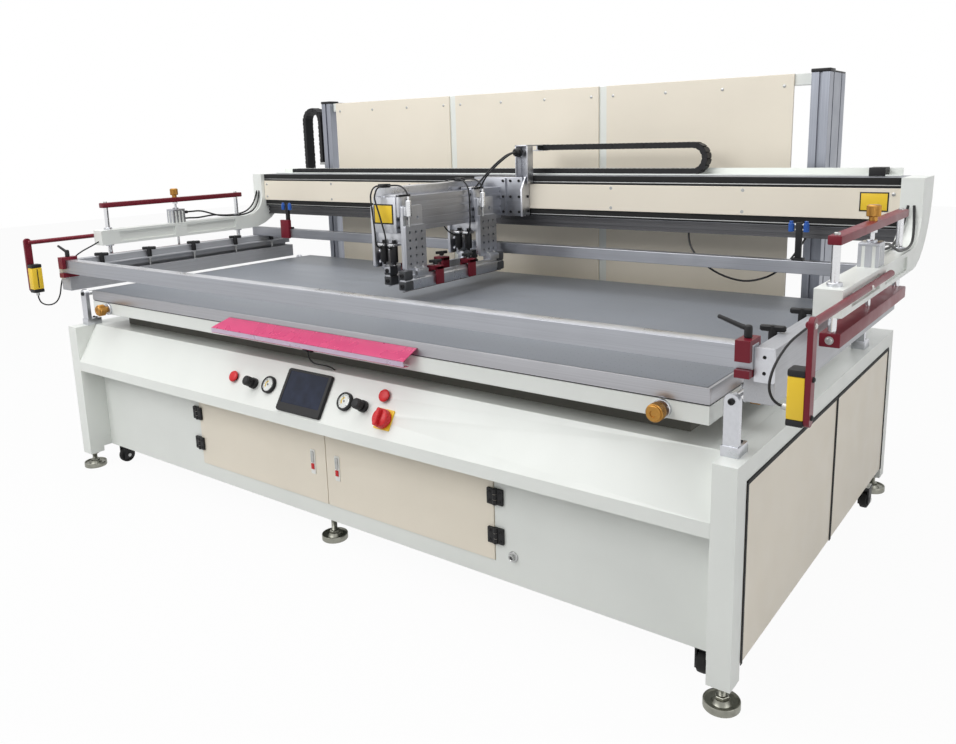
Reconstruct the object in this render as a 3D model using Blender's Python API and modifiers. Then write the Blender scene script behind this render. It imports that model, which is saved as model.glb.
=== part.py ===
"""Large flat-bed screen printing press with a vertically lifting print head.

Metres, +Z up, X to the right, Y to the back. The origin is on the floor, under the middle of the press.
Depths are measured back from the front face of the base, heights up from the floor.
"""

import math

import bmesh
import bpy
from mathutils import Matrix, Vector

# Clearances
CLEAR = 0.0003
RUNNING = 0.0010

# Base cabinet
BASE_WIDTH = 2.890
BASE_DEPTH = 1.590
SENSOR_REACH = 0.065
DECK_Z = 0.624
LEG = 0.060
LEG_BOTTOM = 0.064
TOP_RAIL = 0.050
SHEET = 0.003
SKIRT_Z = 0.086
SEAL = 0.008
SIDE_PANEL = 0.020
SIDE_PANEL_LIFT = 0.018
SIDE_SPLIT = 0.836
LOW_RAIL = 0.040

# Sloped fascia, recessed front and doors
FASCIA_HEIGHT = 0.185
LIP_HEIGHT = 0.039
SLOPE_RUN = 0.089
RECESS = 0.095
FRONT_SHEET = 0.004
DOOR_HALF = 0.700
DOOR_HEIGHT = 0.285
DOOR_LIP_GAP = 0.009
DOOR_THICK = 0.018
DOOR_PROUD = 0.0035
DOOR_GAP = 0.0015
BARREL_RADIUS = 0.007
BARREL_HEIGHT = 0.046
BARREL_LIFTS = (0.058, 0.179)

# Controls on the slope: across the press, and up the slope from the lip
SCREEN_SIZE = (0.210, 0.147, 0.012)
SCREEN_PLACE = (-0.022, 0.082)
BUTTON_PLACES = {"stop_button": (-0.390, 0.084), "start_button": (0.318, 0.129)}
REGULATOR_PLACES = {"regulator_knob_left": (-0.280, 0.076), "regulator_knob_right": (0.245, 0.083)}
SWITCH_PLACE = (0.342, 0.059)
BUTTON_RADIUS = 0.020
BUTTON_STEM = 0.011
BUTTON_TRAVEL = 0.004
BUTTON_CROWN = 0.011
STEM_LENGTH = 0.018
REGULATOR_RADIUS = 0.019
REGULATOR_LENGTH = 0.046
SWITCH_RADIUS = 0.030
SWITCH_DISC = 0.030
SWITCH_GRIP = (0.014, 0.056, 0.044)

# Feet and castors
FOOT_RADIUS = 0.045
FOOT_STEM = 0.010
FOOT_PAD = 0.010
FOOT_NUT_RADIUS = 0.018
FOOT_NUT = (0.024, 0.032)
FOOT_BORE_DEPTH = 0.040
WHEEL_RADIUS = 0.032
WHEEL_WIDTH = 0.024
WHEEL_LIFT = 0.004
WHEEL_ROUND = 0.003
WHEEL_TREAD = 0.014
AXLE_RADIUS = 0.005
FORK_THICK = 0.004
FORK_LENGTH = 0.044
CASTOR_INSETS = {"front": 0.115, "rear": 0.016}
CASTOR_FRONT_DEPTH = 0.130
CASTOR_REAR_SETBACK = 0.215

# Printing table
TABLE_ROD_GAP = 0.037
TABLE_FRONT = 0.070
TABLE_COLUMN_GAP = 0.082
TABLE_HEIGHT = 0.152
TABLE_PLATE = 0.044
TABLE_FRAME = 0.046
PLINTH_INSET_X = 0.087
PLINTH_INSET_Y = 0.100
PLINTH_WALL = 0.004
KNOB_RADIUS = 0.023
KNOB_LENGTH = 0.030
KNOB_NECK = 0.022
KNOB_NECK_RADIUS = 0.013
KNOB_BEVEL = 0.002
FLANGE_RADIUS = 0.022
FLANGE_LENGTH = 0.008
SPINDLE_RADIUS = 0.006
SPINDLE_DEPTH = 0.040
KNOB_DROP = 0.068
FRONT_KNOB_INSET = 0.118
SIDE_KNOB_DEPTH = 0.290

# Rods beside the table
ROD_INSET = 0.041
ROD_HEIGHT = 0.133
ROD_RADIUS = 0.010
POST_WIDTH = 0.038
POST_THICK = 0.018
POST_FRONT = 0.058
POST_REAR_INSET = 0.036
POST_FOOT = 0.058
POST_FOOT_HEIGHT = 0.026

# Rear columns and back panels
COLUMN_INSETS = {"left": 0.166, "right": 0.211}
COLUMN_WIDTH = 0.062
COLUMN_SETBACK = 0.032
COLUMN_DEPTH = 0.200
COLUMN_HEIGHT = 0.926
COLUMN_SLOT = 0.010
COLUMN_SLOT_DEPTH = 0.008
COLUMN_FLANK_SLOTS = (0.050, 0.150)
BACK_PANEL_INSET = 0.014
BACK_PANEL = 0.008
BACK_PANEL_LIFT = 0.016
BACK_GAP = 0.036
BACK_COLUMN_GAPS = {"left": 0.027, "right": 0.062}
REAR_FRAME = 0.040
REAR_POST = 0.060

# Lifting beam and its arms
ARM_RAIL_GAP = 0.014
ARM_WIDTH = 0.065
ARM_FRONT = 0.236
ARM_BAR_GAP = 0.044
ARM_HEIGHT = 0.065
PLATE_DEPTH = 0.160
PLATE_COLUMN_GAP = 0.068
BEAM_RISE = 0.204
BEAM_HEIGHT = 0.164
BEAM_FACE_INSET = 0.035
COVER_THICK = 0.018
COVER_LIFT = 0.032
COVER_HEIGHT = 0.098
STIFFENER_HEIGHT = 0.040
STIFFENER_DEPTH = 0.045
THROAT_RADIUS = 0.100
HEEL_RADIUS = 0.250
POCKET_DEPTH = 0.008
POCKET_MARGIN = 0.012
POCKET_POST_GAP = 0.035
POCKET_MIDDLE_GAP = 0.032
TRAY_INSET = 0.015
TRAY_WIDTH = 0.060
TRAY_HEIGHT = 0.025
TRAY_WALL = 0.002
SHOE_DROP = 0.010
SHOE_HEIGHT = 0.150
TONGUE = 0.005

# Off-contact lift frames on the arms
LIFT_POST_RADIUS = 0.010
LIFT_POST_INSETS = (0.051, 0.145)
LIFT_BAR_OVERHANGS = (0.022, 0.029)
LIFT_BAR_WIDTH = 0.032
LIFT_BAR_RISE = 0.097
LIFT_BAR_HEIGHT = 0.022
LOW_BAR_OVERHANGS = (0.019, 0.021)
LOW_BAR_WIDTH = 0.048
LOW_BAR_LIFT = 0.085
LOW_BAR_HEIGHT = 0.034
CYLINDER_BLOCK = (0.050, 0.062, 0.060)
PISTON_RADIUS = 0.006
PISTON_FLOOR = 0.010
SEAT_INSET = 0.004
LIFT_KNOB_RADIUS = 0.018
LIFT_KNOB_LENGTH = 0.042
LIFT_KNOB_NECK = 0.012
LIFT_KNOB_STUD = 0.014

# Screen holder
RAIL_ROD_GAP = 0.017
RAIL_LEDGE = 0.024
RAIL_WIDTH = 0.044
RAIL_FRONT = 0.030
RAIL_REAR_OVERHANG = 0.160
RAIL_DROP = 0.004
RAIL_LOWER_HEIGHT = 0.059
RAIL_SLOT = 0.012
RAIL_UPPER_HEIGHT = 0.055
RAIL_WEB = 0.010
BAR_FRONT = 0.014
BAR_DEPTH = 0.040
BAR_LIFT = 0.007
BAR_HEIGHT = 0.053
REAR_BAR_INSET = 0.005
REAR_BAR_HEIGHT = 0.042

# Corner clamps and their levers
CLAMP_WIDTH = 0.034
CLAMP_RAIL_GAP = 0.002
CLAMP_NOSE = 0.014
CLAMP_LIP = 0.035
CLAMP_CAP = 0.013
CLAMP_BACK = 0.012
CLAMP_SOLE = 0.018
LEVER_STUD = 0.004
LEVER_HUB = 0.009
LEVER_HEIGHT = 0.030
LEVER_REACH = 0.070
LEVER_RISE = 0.012
LEVER_GRIP = 0.0054

# Light-curtain brackets
TUBE_RADIUS = 0.009
TUBE_REAR = 0.690
TUBE_LIFT = 0.041
DROP_BAR = (0.012, 0.030)
SENSOR_SIZE = (0.036, 0.044)
SENSOR_DROP = 0.211
SENSOR_HEIGHT = 0.121

# Squeegee carriage
CARRIAGE_LEFT = -0.110
CARRIAGE_RIGHT = 0.140
CARRIAGE_DEPTH = 0.112
CARRIAGE_HOOK = (0.029, 0.030)
MAST_LEFT = 0.098
MAST_WIDTH = 0.060
MAST_DEPTH = 0.040
MAST_HEIGHT = 0.126
MAST_BRACKET = 0.026
BOOM_LEFT = -0.076
BOOM_RIGHT = 0.030
BOOM_FRONT = 0.460
BOOM_DROP = 0.008
BOOM_HEIGHT = 0.126
HEAD_DEPTH = 0.105
HEAD_INSET = 0.010
HEAD_CARRIAGE_GAP = 0.025
HEAD_PLATE = 0.024
HEAD_RISE = 0.095
HEAD_DROP = 0.130
HEAD_BRIDGE = 0.040
SQUEEGEE_THICK = 0.028
SQUEEGEE_OVERHANG = 0.030
SQUEEGEE_CARRIAGE_GAP = 0.015
BLADE_BAR_DROP = 0.199
BLADE_BAR_HEIGHT = 0.049
HANGER_WIDTH = 0.044
HANGER_DEPTH = 0.060
SQUEEGEE_HANGER_RISE = 0.025
FLOOD_THICK = 0.022
FLOOD_SETBACK = 0.065
FLOOD_HANGER_DROP = 0.077

# Cable chain on the beam
CHAIN_HEIGHT = 0.022
CHAIN_WIDTH = 0.044
CHAIN_RADIUS = 0.048
CHAIN_END_X = 0.800
CHAIN_LOWER_LEG = 0.180
CHAIN_UPPER_LEG = 0.060

# Turned profiles, as (share of the radius, share of the length) down the outside
BUTTON_SHAPE = ((0, 1.0), (0.7, 0.85), (1.0, 0.4), (1.0, 0))
REGULATOR_SHAPE = ((0, 1.0), (0.86, 1.0), (1.0, 0.9), (1.0, 0.45), (0.86, 0.4), (0.86, 0))
SWITCH_SHAPE = ((0, 1.0), (0.9, 1.0), (1.0, 0.8), (1.0, 0))
FOOT_SHAPE = ((0.92, 1.0), (1.0, 0.8), (1.0, 0), (0, 0))

# Facets of round pieces
ROUND = 24
ARC_STEPS = 8
SMOOTH_ANGLE = 40
MERGE = 0.00001

# Places across the press, from the middle outwards
HALF = BASE_WIDTH / 2
ROD_X = HALF - ROD_INSET
TABLE_HALF = ROD_X - POST_WIDTH / 2 - TABLE_ROD_GAP
FRONT_KNOB_X = TABLE_HALF - FRONT_KNOB_INSET
RAIL_LOWER_INNER = ROD_X + POST_WIDTH / 2 + RAIL_ROD_GAP
RAIL_INNER = RAIL_LOWER_INNER + RAIL_LEDGE
RAIL_OUTER = RAIL_INNER + RAIL_WIDTH
CLAMP_OUTER = RAIL_INNER - CLAMP_RAIL_GAP
CLAMP_INNER = CLAMP_OUTER - CLAMP_WIDTH
ARM_INNER = RAIL_OUTER + ARM_RAIL_GAP
ARM_OUTER = ARM_INNER + ARM_WIDTH
ARM_MIDDLE = ARM_INNER + ARM_WIDTH / 2
COLUMN_INNERS = {side: HALF - COLUMN_INSETS[side] - COLUMN_WIDTH for side in COLUMN_INSETS}
BACK_LEFT = BACK_COLUMN_GAPS["left"] - COLUMN_INNERS["left"]
BACK_RIGHT = COLUMN_INNERS["right"] - BACK_COLUMN_GAPS["right"]
BACK_WIDTH = (BACK_RIGHT - BACK_LEFT - 2 * BACK_GAP) / 3
SIDES = {"left": -1, "right": 1}

# Places back from the front of the base
FOOT_OVERHANG = FOOT_RADIUS - LEG / 2
BASE_FRONT = SENSOR_REACH - (SENSOR_REACH + BASE_DEPTH + FOOT_OVERHANG) / 2
CASTOR_DEPTHS = {"front": CASTOR_FRONT_DEPTH, "rear": BASE_DEPTH - CASTOR_REAR_SETBACK}
CASTOR_PLACES = {place: (HALF - CASTOR_INSETS[place], CASTOR_DEPTHS[place]) for place in CASTOR_INSETS}
COLUMN_FRONT = BASE_DEPTH - COLUMN_SETBACK - COLUMN_DEPTH
BACK_PANEL_FRONT = COLUMN_FRONT + BACK_PANEL_INSET
TABLE_REAR = COLUMN_FRONT - TABLE_COLUMN_GAP
POST_DEPTHS = (POST_FRONT, TABLE_REAR - POST_REAR_INSET)
PLATE_REAR = COLUMN_FRONT - PLATE_COLUMN_GAP
PLATE_FRONT = PLATE_REAR - PLATE_DEPTH
BEAM_FACE = PLATE_FRONT + BEAM_FACE_INSET
COVER_FRONT = BEAM_FACE - COVER_THICK
TRAY_REAR = PLATE_REAR - TRAY_INSET
TRAY_FRONT = TRAY_REAR - TRAY_WIDTH
LIFT_POST_DEPTHS = (ARM_FRONT + LIFT_POST_INSETS[0], PLATE_FRONT - LIFT_POST_INSETS[1])
LIFT_BAR = (LIFT_POST_DEPTHS[0] - LIFT_BAR_OVERHANGS[0], LIFT_POST_DEPTHS[1] + LIFT_BAR_OVERHANGS[1])
LOW_BAR = (LIFT_POST_DEPTHS[0] - LOW_BAR_OVERHANGS[0], LIFT_POST_DEPTHS[1] + LOW_BAR_OVERHANGS[1])
LIFT_MIDDLE = sum(LIFT_POST_DEPTHS) / 2
CARRIAGE_FRONT = COVER_FRONT - CARRIAGE_DEPTH
REAR_BAR_FRONT = CARRIAGE_FRONT + REAR_BAR_INSET
RAIL_REAR = REAR_BAR_FRONT + BAR_DEPTH + RAIL_REAR_OVERHANG
CLAMP_FRONT = BAR_FRONT - CLAMP_NOSE
HEAD_REAR = CARRIAGE_FRONT - HEAD_CARRIAGE_GAP
HEAD_FRONT = BOOM_FRONT + HEAD_INSET
HEAD_DEPTHS = {"front": (HEAD_FRONT, HEAD_FRONT + HEAD_DEPTH), "rear": (HEAD_REAR - HEAD_DEPTH, HEAD_REAR)}
SQUEEGEE_ENDS = (BOOM_FRONT - SQUEEGEE_OVERHANG, CARRIAGE_FRONT - SQUEEGEE_CARRIAGE_GAP)

# Heights up from the floor
LIP_Z = DECK_Z - FASCIA_HEIGHT
DOOR_HIGH = LIP_Z - DOOR_LIP_GAP
DOOR_LOW = DOOR_HIGH - DOOR_HEIGHT
BARREL_Z = [DOOR_LOW + lift for lift in BARREL_LIFTS]
TABLE_TOP = DECK_Z + TABLE_HEIGHT
KNOB_Z = TABLE_TOP - KNOB_DROP
ROD_Z = DECK_Z + ROD_HEIGHT
COLUMN_TOP = DECK_Z + COLUMN_HEIGHT
BACK_PANEL_LOW = DECK_Z + BACK_PANEL_LIFT
RAIL_BOTTOM = TABLE_TOP - RAIL_DROP
RAIL_MIDDLE = RAIL_BOTTOM + RAIL_LOWER_HEIGHT + RAIL_SLOT
RAIL_TOP = RAIL_MIDDLE + RAIL_UPPER_HEIGHT
BAR_LOW = RAIL_MIDDLE + BAR_LIFT
BAR_HIGH = BAR_LOW + BAR_HEIGHT
CLAMP_TOP = BAR_HIGH + CLAMP_CAP
CLAMP_LIP_LOW = BAR_HIGH - CLAMP_LIP
CLAMP_LOW = BAR_LOW - CLAMP_SOLE
LOW_BAR_LOW = RAIL_BOTTOM + LOW_BAR_LIFT
LOW_BAR_HIGH = LOW_BAR_LOW + LOW_BAR_HEIGHT
ARM_LOW = LOW_BAR_HIGH + ARM_BAR_GAP
ARM_HIGH = ARM_LOW + ARM_HEIGHT
LIFT_BAR_LOW = ARM_HIGH + LIFT_BAR_RISE
LIFT_BAR_HIGH = LIFT_BAR_LOW + LIFT_BAR_HEIGHT
TUBE_Z = ARM_LOW + TUBE_LIFT
SENSOR_LOW = TUBE_Z - SENSOR_DROP
SENSOR_HIGH = SENSOR_LOW + SENSOR_HEIGHT
BEAM_TOP = ARM_HIGH + BEAM_RISE
BEAM_LOW = BEAM_TOP - BEAM_HEIGHT
COVER_LOW = BEAM_LOW + COVER_LIFT
COVER_HIGH = COVER_LOW + COVER_HEIGHT
STIFFENER_LOW = BEAM_LOW - STIFFENER_HEIGHT
SHOE_LOW = BEAM_LOW - SHOE_DROP
SHOE_HIGH = SHOE_LOW + SHOE_HEIGHT
CARRIAGE_LOW = COVER_LOW - CARRIAGE_HOOK[0]
CARRIAGE_HIGH = COVER_HIGH + CARRIAGE_HOOK[1]
MAST_TOP = CARRIAGE_HIGH + MAST_HEIGHT
BOOM_LOW = CARRIAGE_LOW - BOOM_DROP
BOOM_HIGH = BOOM_LOW + BOOM_HEIGHT
HEAD_TOP = BOOM_LOW + HEAD_RISE
HEAD_LOW = BOOM_LOW - HEAD_DROP
BLADE_BAR_LOW = BOOM_LOW - BLADE_BAR_DROP
BLADE_BAR_HIGH = BLADE_BAR_LOW + BLADE_BAR_HEIGHT
SQUEEGEE_HANGER_TOP = BOOM_LOW + SQUEEGEE_HANGER_RISE
FLOOD_HANGER_TOP = BOOM_LOW - FLOOD_HANGER_DROP

WHITE_PAINT = ("white_paint", (0.80, 0.82, 0.80), 0.42, 0.0)
BEIGE_PAINT = ("beige_paint", (0.79, 0.73, 0.62), 0.45, 0.0)
MAROON_PAINT = ("maroon_paint", (0.20, 0.020, 0.030), 0.38, 0.0)
ALUMINIUM = ("aluminium", (0.50, 0.51, 0.55), 0.38, 0.9)
TABLE_GREY = ("table_grey", (0.20, 0.21, 0.23), 0.48, 0.4)
BRASS = ("brass", (0.58, 0.30, 0.06), 0.35, 0.9)
BLACK_PLASTIC = ("black_plastic", (0.015, 0.015, 0.016), 0.50, 0.0)
RED_PLASTIC = ("red_plastic", (0.55, 0.02, 0.02), 0.35, 0.0)
ZINC = ("zinc", (0.55, 0.56, 0.57), 0.40, 0.9)


def depth(distance):
    """The Y of a place this far behind the front of the base."""
    return BASE_FRONT + distance


def clear_scene():
    for old in list(bpy.data.objects):
        bpy.data.objects.remove(old, do_unlink=True)


def new_collection(name):
    collection = bpy.data.collections.new(name)
    bpy.context.scene.collection.children.link(collection)
    return collection


def material(kind):
    name, colour, roughness, metallic = kind
    found = bpy.data.materials.get(name)
    if found:
        return found
    made = bpy.data.materials.new(name)
    made.use_nodes = True
    shader = made.node_tree.nodes["Principled BSDF"]
    shader.inputs["Base Color"].default_value = (*colour, 1.0)
    shader.inputs["Roughness"].default_value = roughness
    shader.inputs["Metallic"].default_value = metallic
    return made


def mesh_object(name, shape, collection):
    mesh = bpy.data.meshes.new(name)
    bmesh.ops.recalc_face_normals(shape, faces=shape.faces)
    shape.to_mesh(mesh)
    shape.free()
    made = bpy.data.objects.new(name, mesh)
    collection.objects.link(made)
    return made


def block(x_range, y_range, z_range):
    """A box between two values on each axis."""
    spans = [sorted(span) for span in (x_range, y_range, z_range)]
    middle = Vector([(low + high) / 2 for low, high in spans])
    size = Vector([high - low for low, high in spans])
    shape = bmesh.new()
    bmesh.ops.create_cube(shape, size=1.0, matrix=Matrix.Translation(middle) @ Matrix.Diagonal((*size, 1.0)))
    return shape


def cylinder(start, end, radius, sides=ROUND):
    start = Vector(start)
    end = Vector(end)
    along = end - start
    turn = Vector((0, 0, 1)).rotation_difference(along).to_matrix().to_4x4()
    shape = bmesh.new()
    bmesh.ops.create_cone(
        shape,
        cap_ends=True,
        segments=sides,
        radius1=radius,
        radius2=radius,
        depth=along.length,
        matrix=Matrix.Translation((start + end) / 2) @ turn,
    )
    return shape


def prism(outline, axis, start, end):
    """An outline in the plane across an axis, drawn along it. Outline points are (Y, Z) for X and (X, Z) for Y."""
    place = {
        "X": lambda a, b, along: (along, a, b),
        "Y": lambda a, b, along: (a, along, b),
        "Z": lambda a, b, along: (a, b, along),
    }[axis]
    shape = bmesh.new()
    face = shape.faces.new([shape.verts.new(place(a, b, start)) for a, b in outline])
    grown = bmesh.ops.extrude_face_region(shape, geom=[face])
    moved = [item for item in grown["geom"] if isinstance(item, bmesh.types.BMVert)]
    bmesh.ops.translate(shape, verts=moved, vec=Vector(place(0, 0, end)) - Vector(place(0, 0, start)))
    return shape


def shaped(shares, radius, length, start):
    """A turned profile from shares of a radius and of a length above a start height."""
    return [(share * radius, start + rise * length) for share, rise in shares]


def arc(centre, radius, first, last, steps=ARC_STEPS):
    """Points along a circle between two angles in degrees."""
    angles = [math.radians(first + (last - first) * step / steps) for step in range(steps + 1)]
    return [(centre[0] + radius * math.cos(a), centre[1] + radius * math.sin(a)) for a in angles]


class Press:
    """The collections that the parts and their cutters go into."""

    def __init__(self):
        self.parts = new_collection("screen_printing_press")
        self.cutters = new_collection("cutters")

    def part(self, name, shape, kind, joined=(), cut=(), origin=None, smooth=False):
        made = mesh_object(name, shape, self.parts)
        made.data.materials.append(material(kind))
        for operation, shapes in (("UNION", joined), ("DIFFERENCE", cut)):
            for number, other in enumerate(shapes):
                self.boolean(made, other, operation, f"{name}_{operation.lower()}_{number}")
        if origin:
            self.set_origin(made, Vector(origin))
        if smooth:
            made.data.shade_smooth()
            made.data.set_sharp_from_angle(angle=math.radians(SMOOTH_ANGLE))
        return made

    def boolean(self, made, shape, operation, name):
        tool = mesh_object(name, shape, self.cutters)
        tool.hide_render = True
        tool.display_type = "WIRE"
        modifier = made.modifiers.new(name, "BOOLEAN")
        modifier.operation = operation
        modifier.solver = "EXACT"
        modifier.object = tool

    def set_origin(self, made, origin):
        made.data.transform(Matrix.Translation(-origin))
        made.location = origin

    def turned(self, name, profile, kind, frame, cut=(), joined=()):
        """A turned piece: its profile of (radius, height) runs down the outside, about the frame's Z axis."""
        shape = bmesh.new()
        verts = [shape.verts.new((radius, 0, height)) for radius, height in profile]
        for first, second in zip(verts, verts[1:]):
            shape.edges.new((first, second))
        made = mesh_object(name, shape, self.parts)
        made.data.materials.append(material(kind))
        made.matrix_world = frame
        screw = made.modifiers.new("turn", "SCREW")
        screw.axis = "Z"
        screw.steps = ROUND
        screw.render_steps = ROUND
        screw.use_merge_vertices = True
        screw.merge_threshold = MERGE
        screw.use_smooth_shade = True
        for operation, shapes in (("UNION", joined), ("DIFFERENCE", cut)):
            for number, other in enumerate(shapes):
                self.boolean(made, other, operation, f"{name}_{operation.lower()}_{number}")
        return made


def slope_frame(across, up_slope, lift=0.0):
    """A frame on the sloped fascia: X across the press, Y up the slope, Z out of it."""
    rise = DECK_Z - LIP_Z - LIP_HEIGHT
    along = Vector((0, SLOPE_RUN, rise)).normalized()
    across_axis = Vector((1, 0, 0))
    out = across_axis.cross(along)
    foot = Vector((across, depth(0), LIP_Z + LIP_HEIGHT)) + along * up_slope + out * lift
    turn = Matrix((across_axis, along, out)).transposed().to_4x4()
    return Matrix.Translation(foot) @ turn


def fork_shapes(side, place):
    """A castor's fork: a plate under the low rail and two cheeks beside the wheel."""
    middle = side * CASTOR_PLACES[place][0]
    half = WHEEL_WIDTH / 2 + RUNNING + FORK_THICK
    back = depth(CASTOR_PLACES[place][1])
    span = (back - FORK_LENGTH / 2, back + FORK_LENGTH / 2)
    axle = WHEEL_LIFT + WHEEL_RADIUS
    shapes = [block((middle - half, middle + half), span, (SKIRT_Z - 2 * FORK_THICK, SKIRT_Z + FORK_THICK))]
    for cheek in (-1, 1):
        edge = middle + cheek * half
        inner = edge - cheek * FORK_THICK
        low = axle - 3 * AXLE_RADIUS
        shapes.append(block((inner, edge), (back - 4 * AXLE_RADIUS, back + 4 * AXLE_RADIUS), (low, SKIRT_Z)))
    hole = cylinder((middle - 2 * half, back, axle), (middle + 2 * half, back, axle), AXLE_RADIUS + CLEAR)
    return shapes, hole


def base_frame(press):
    rear = BASE_DEPTH
    rail_low = DECK_Z - TOP_RAIL
    joined = []
    cut = []
    for side in SIDES.values():
        outer = side * HALF
        inner = side * (HALF - LEG)
        panel_back = side * (HALF - SIDE_PANEL - CLEAR)
        for front in (0, rear - LEG):
            joined.append(block((outer, inner), (depth(front), depth(front + LEG)), (LEG_BOTTOM, DECK_Z)))
        joined.append(block((outer, inner), (depth(0.0), depth(rear)), (rail_low, DECK_Z)))
        low = (SKIRT_Z, SKIRT_Z + LOW_RAIL)
        joined.append(block((panel_back, inner), (depth(LEG / 2), depth(rear - LEG / 2)), low))
        for place in CASTOR_PLACES:
            shapes, hole = fork_shapes(side, place)
            joined.extend(shapes)
            cut.append(hole)
        for foot_depth in (LEG / 2, rear - LEG / 2):
            bottom = (side * (HALF - LEG / 2), depth(foot_depth), LEG_BOTTOM - FOOT_BORE_DEPTH)
            top = (bottom[0], bottom[1], LEG_BOTTOM + FOOT_BORE_DEPTH)
            cut.append(cylinder(bottom, top, FOOT_STEM + CLEAR))
    span = (-(HALF - LEG / 2), HALF - LEG / 2)
    under_deck = (rail_low, DECK_Z - SHEET - CLEAR)
    front_rail = (depth(RECESS + FRONT_SHEET + CLEAR), depth(RECESS + LEG))
    joined.append(block(span, front_rail, (SKIRT_Z, SKIRT_Z + LOW_RAIL)))
    for rail_depth in (SLOPE_RUN + LEG / 2, BASE_DEPTH / 2):
        joined.append(block(span, (depth(rail_depth), depth(rail_depth + LEG)), under_deck))
    joined.append(block(span, (depth(rear - LEG), depth(rear)), (rail_low, DECK_Z)))
    joined.append(block(span, (depth(rear - LEG), depth(rear)), (SKIRT_Z, SKIRT_Z + LOW_RAIL)))
    joined.append(block(span, (depth(rear - SHEET), depth(rear)), (SKIRT_Z, DECK_Z)))
    press.part("base_frame", joined[0], WHITE_PAINT, joined[1:], cut)


def top_cover(press):
    """One folded sheet: the lip, the sloped fascia and the deck."""
    half = HALF - LEG - CLEAR
    lip_top = LIP_Z + LIP_HEIGHT
    rise = DECK_Z - lip_top
    length = math.hypot(SLOPE_RUN, rise)
    shift = SHEET * (length - SLOPE_RUN) / rise
    bend = SHEET * (length - rise) / SLOPE_RUN
    rear = BASE_DEPTH - LEG - CLEAR
    outline = [
        (depth(0), LIP_Z),
        (depth(SHEET), LIP_Z),
        (depth(SHEET), lip_top - bend),
        (depth(SLOPE_RUN + shift), DECK_Z - SHEET),
        (depth(rear), DECK_Z - SHEET),
        (depth(rear), DECK_Z),
        (depth(SLOPE_RUN), DECK_Z),
        (depth(0), lip_top),
    ]
    cut = []
    holes = [(place, BUTTON_STEM) for place in BUTTON_PLACES.values()]
    holes += [(place, BUTTON_STEM) for place in (*REGULATOR_PLACES.values(), SWITCH_PLACE)]
    for (across, up_slope), radius in holes:
        frame = slope_frame(across, up_slope)
        ends = [frame @ Vector((0, 0, reach)) for reach in (-3 * SHEET, 3 * SHEET)]
        cut.append(cylinder(*ends, radius + CLEAR))
    press.part("top_cover", prism(outline, "X", -half, half), WHITE_PAINT, cut=cut)


def front_panel(press):
    half = HALF - LEG - CLEAR
    sheet = (depth(RECESS), depth(RECESS + FRONT_SHEET))
    opening = (DOOR_LOW - DOOR_GAP, DOOR_HIGH + DOOR_GAP)
    through = (depth(RECESS - FRONT_SHEET), depth(RECESS + 2 * FRONT_SHEET))
    hole = block((-DOOR_HALF - DOOR_GAP, DOOR_HALF + DOOR_GAP), through, opening)
    top = LIP_Z + 2 * LIP_HEIGHT
    press.part("front_panel", block((-half, half), sheet, (SKIRT_Z, top)), WHITE_PAINT, cut=[hole])


def cabinet_doors(press):
    front = RECESS - DOOR_PROUD
    axis_depth = RECESS - BARREL_RADIUS - CLEAR
    for name, side in SIDES.items():
        span = (side * DOOR_GAP, side * DOOR_HALF)
        panel = block(span, (depth(front), depth(front + DOOR_THICK)), (DOOR_LOW, DOOR_HIGH))
        axis_x = side * (DOOR_HALF + BARREL_RADIUS + DOOR_GAP)
        joined = []
        for low in BARREL_Z:
            ends = [(axis_x, depth(axis_depth), height) for height in (low, low + BARREL_HEIGHT)]
            joined.append(cylinder(*ends, BARREL_RADIUS))
            leaf_x = (axis_x, side * (DOOR_HALF - 2 * BARREL_RADIUS))
            leaf_depth = (depth(axis_depth - BARREL_RADIUS / 2), depth(RECESS - CLEAR))
            joined.append(block(leaf_x, leaf_depth, (low, low + BARREL_HEIGHT)))
        origin = (axis_x, depth(axis_depth), DOOR_LOW)
        press.part(f"cabinet_door_{name}", panel, BEIGE_PAINT, joined, origin=origin)


def side_panels(press):
    low = SKIRT_Z + SIDE_PANEL_LIFT
    high = DECK_Z - TOP_RAIL - SEAL
    front = LEG + SEAL
    rear = BASE_DEPTH - LEG - SEAL
    runs = {
        "right": {"_front": (front, SIDE_SPLIT - SEAL / 2), "_rear": (SIDE_SPLIT + SEAL / 2, rear)},
        "left": {"": (front, rear)},
    }
    for name, side in SIDES.items():
        span = (side * (HALF - SIDE_PANEL), side * HALF)
        for place, (start, end) in runs[name].items():
            panel = block(span, (depth(start), depth(end)), (low, high))
            press.part(f"side_panel_{name}{place}", panel, BEIGE_PAINT)


def stem_profile(top):
    """The stem of a control, from the underside of its head down through the sheet."""
    return [(BUTTON_STEM, top), (BUTTON_STEM, -STEM_LENGTH), (0, -STEM_LENGTH)]


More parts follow.
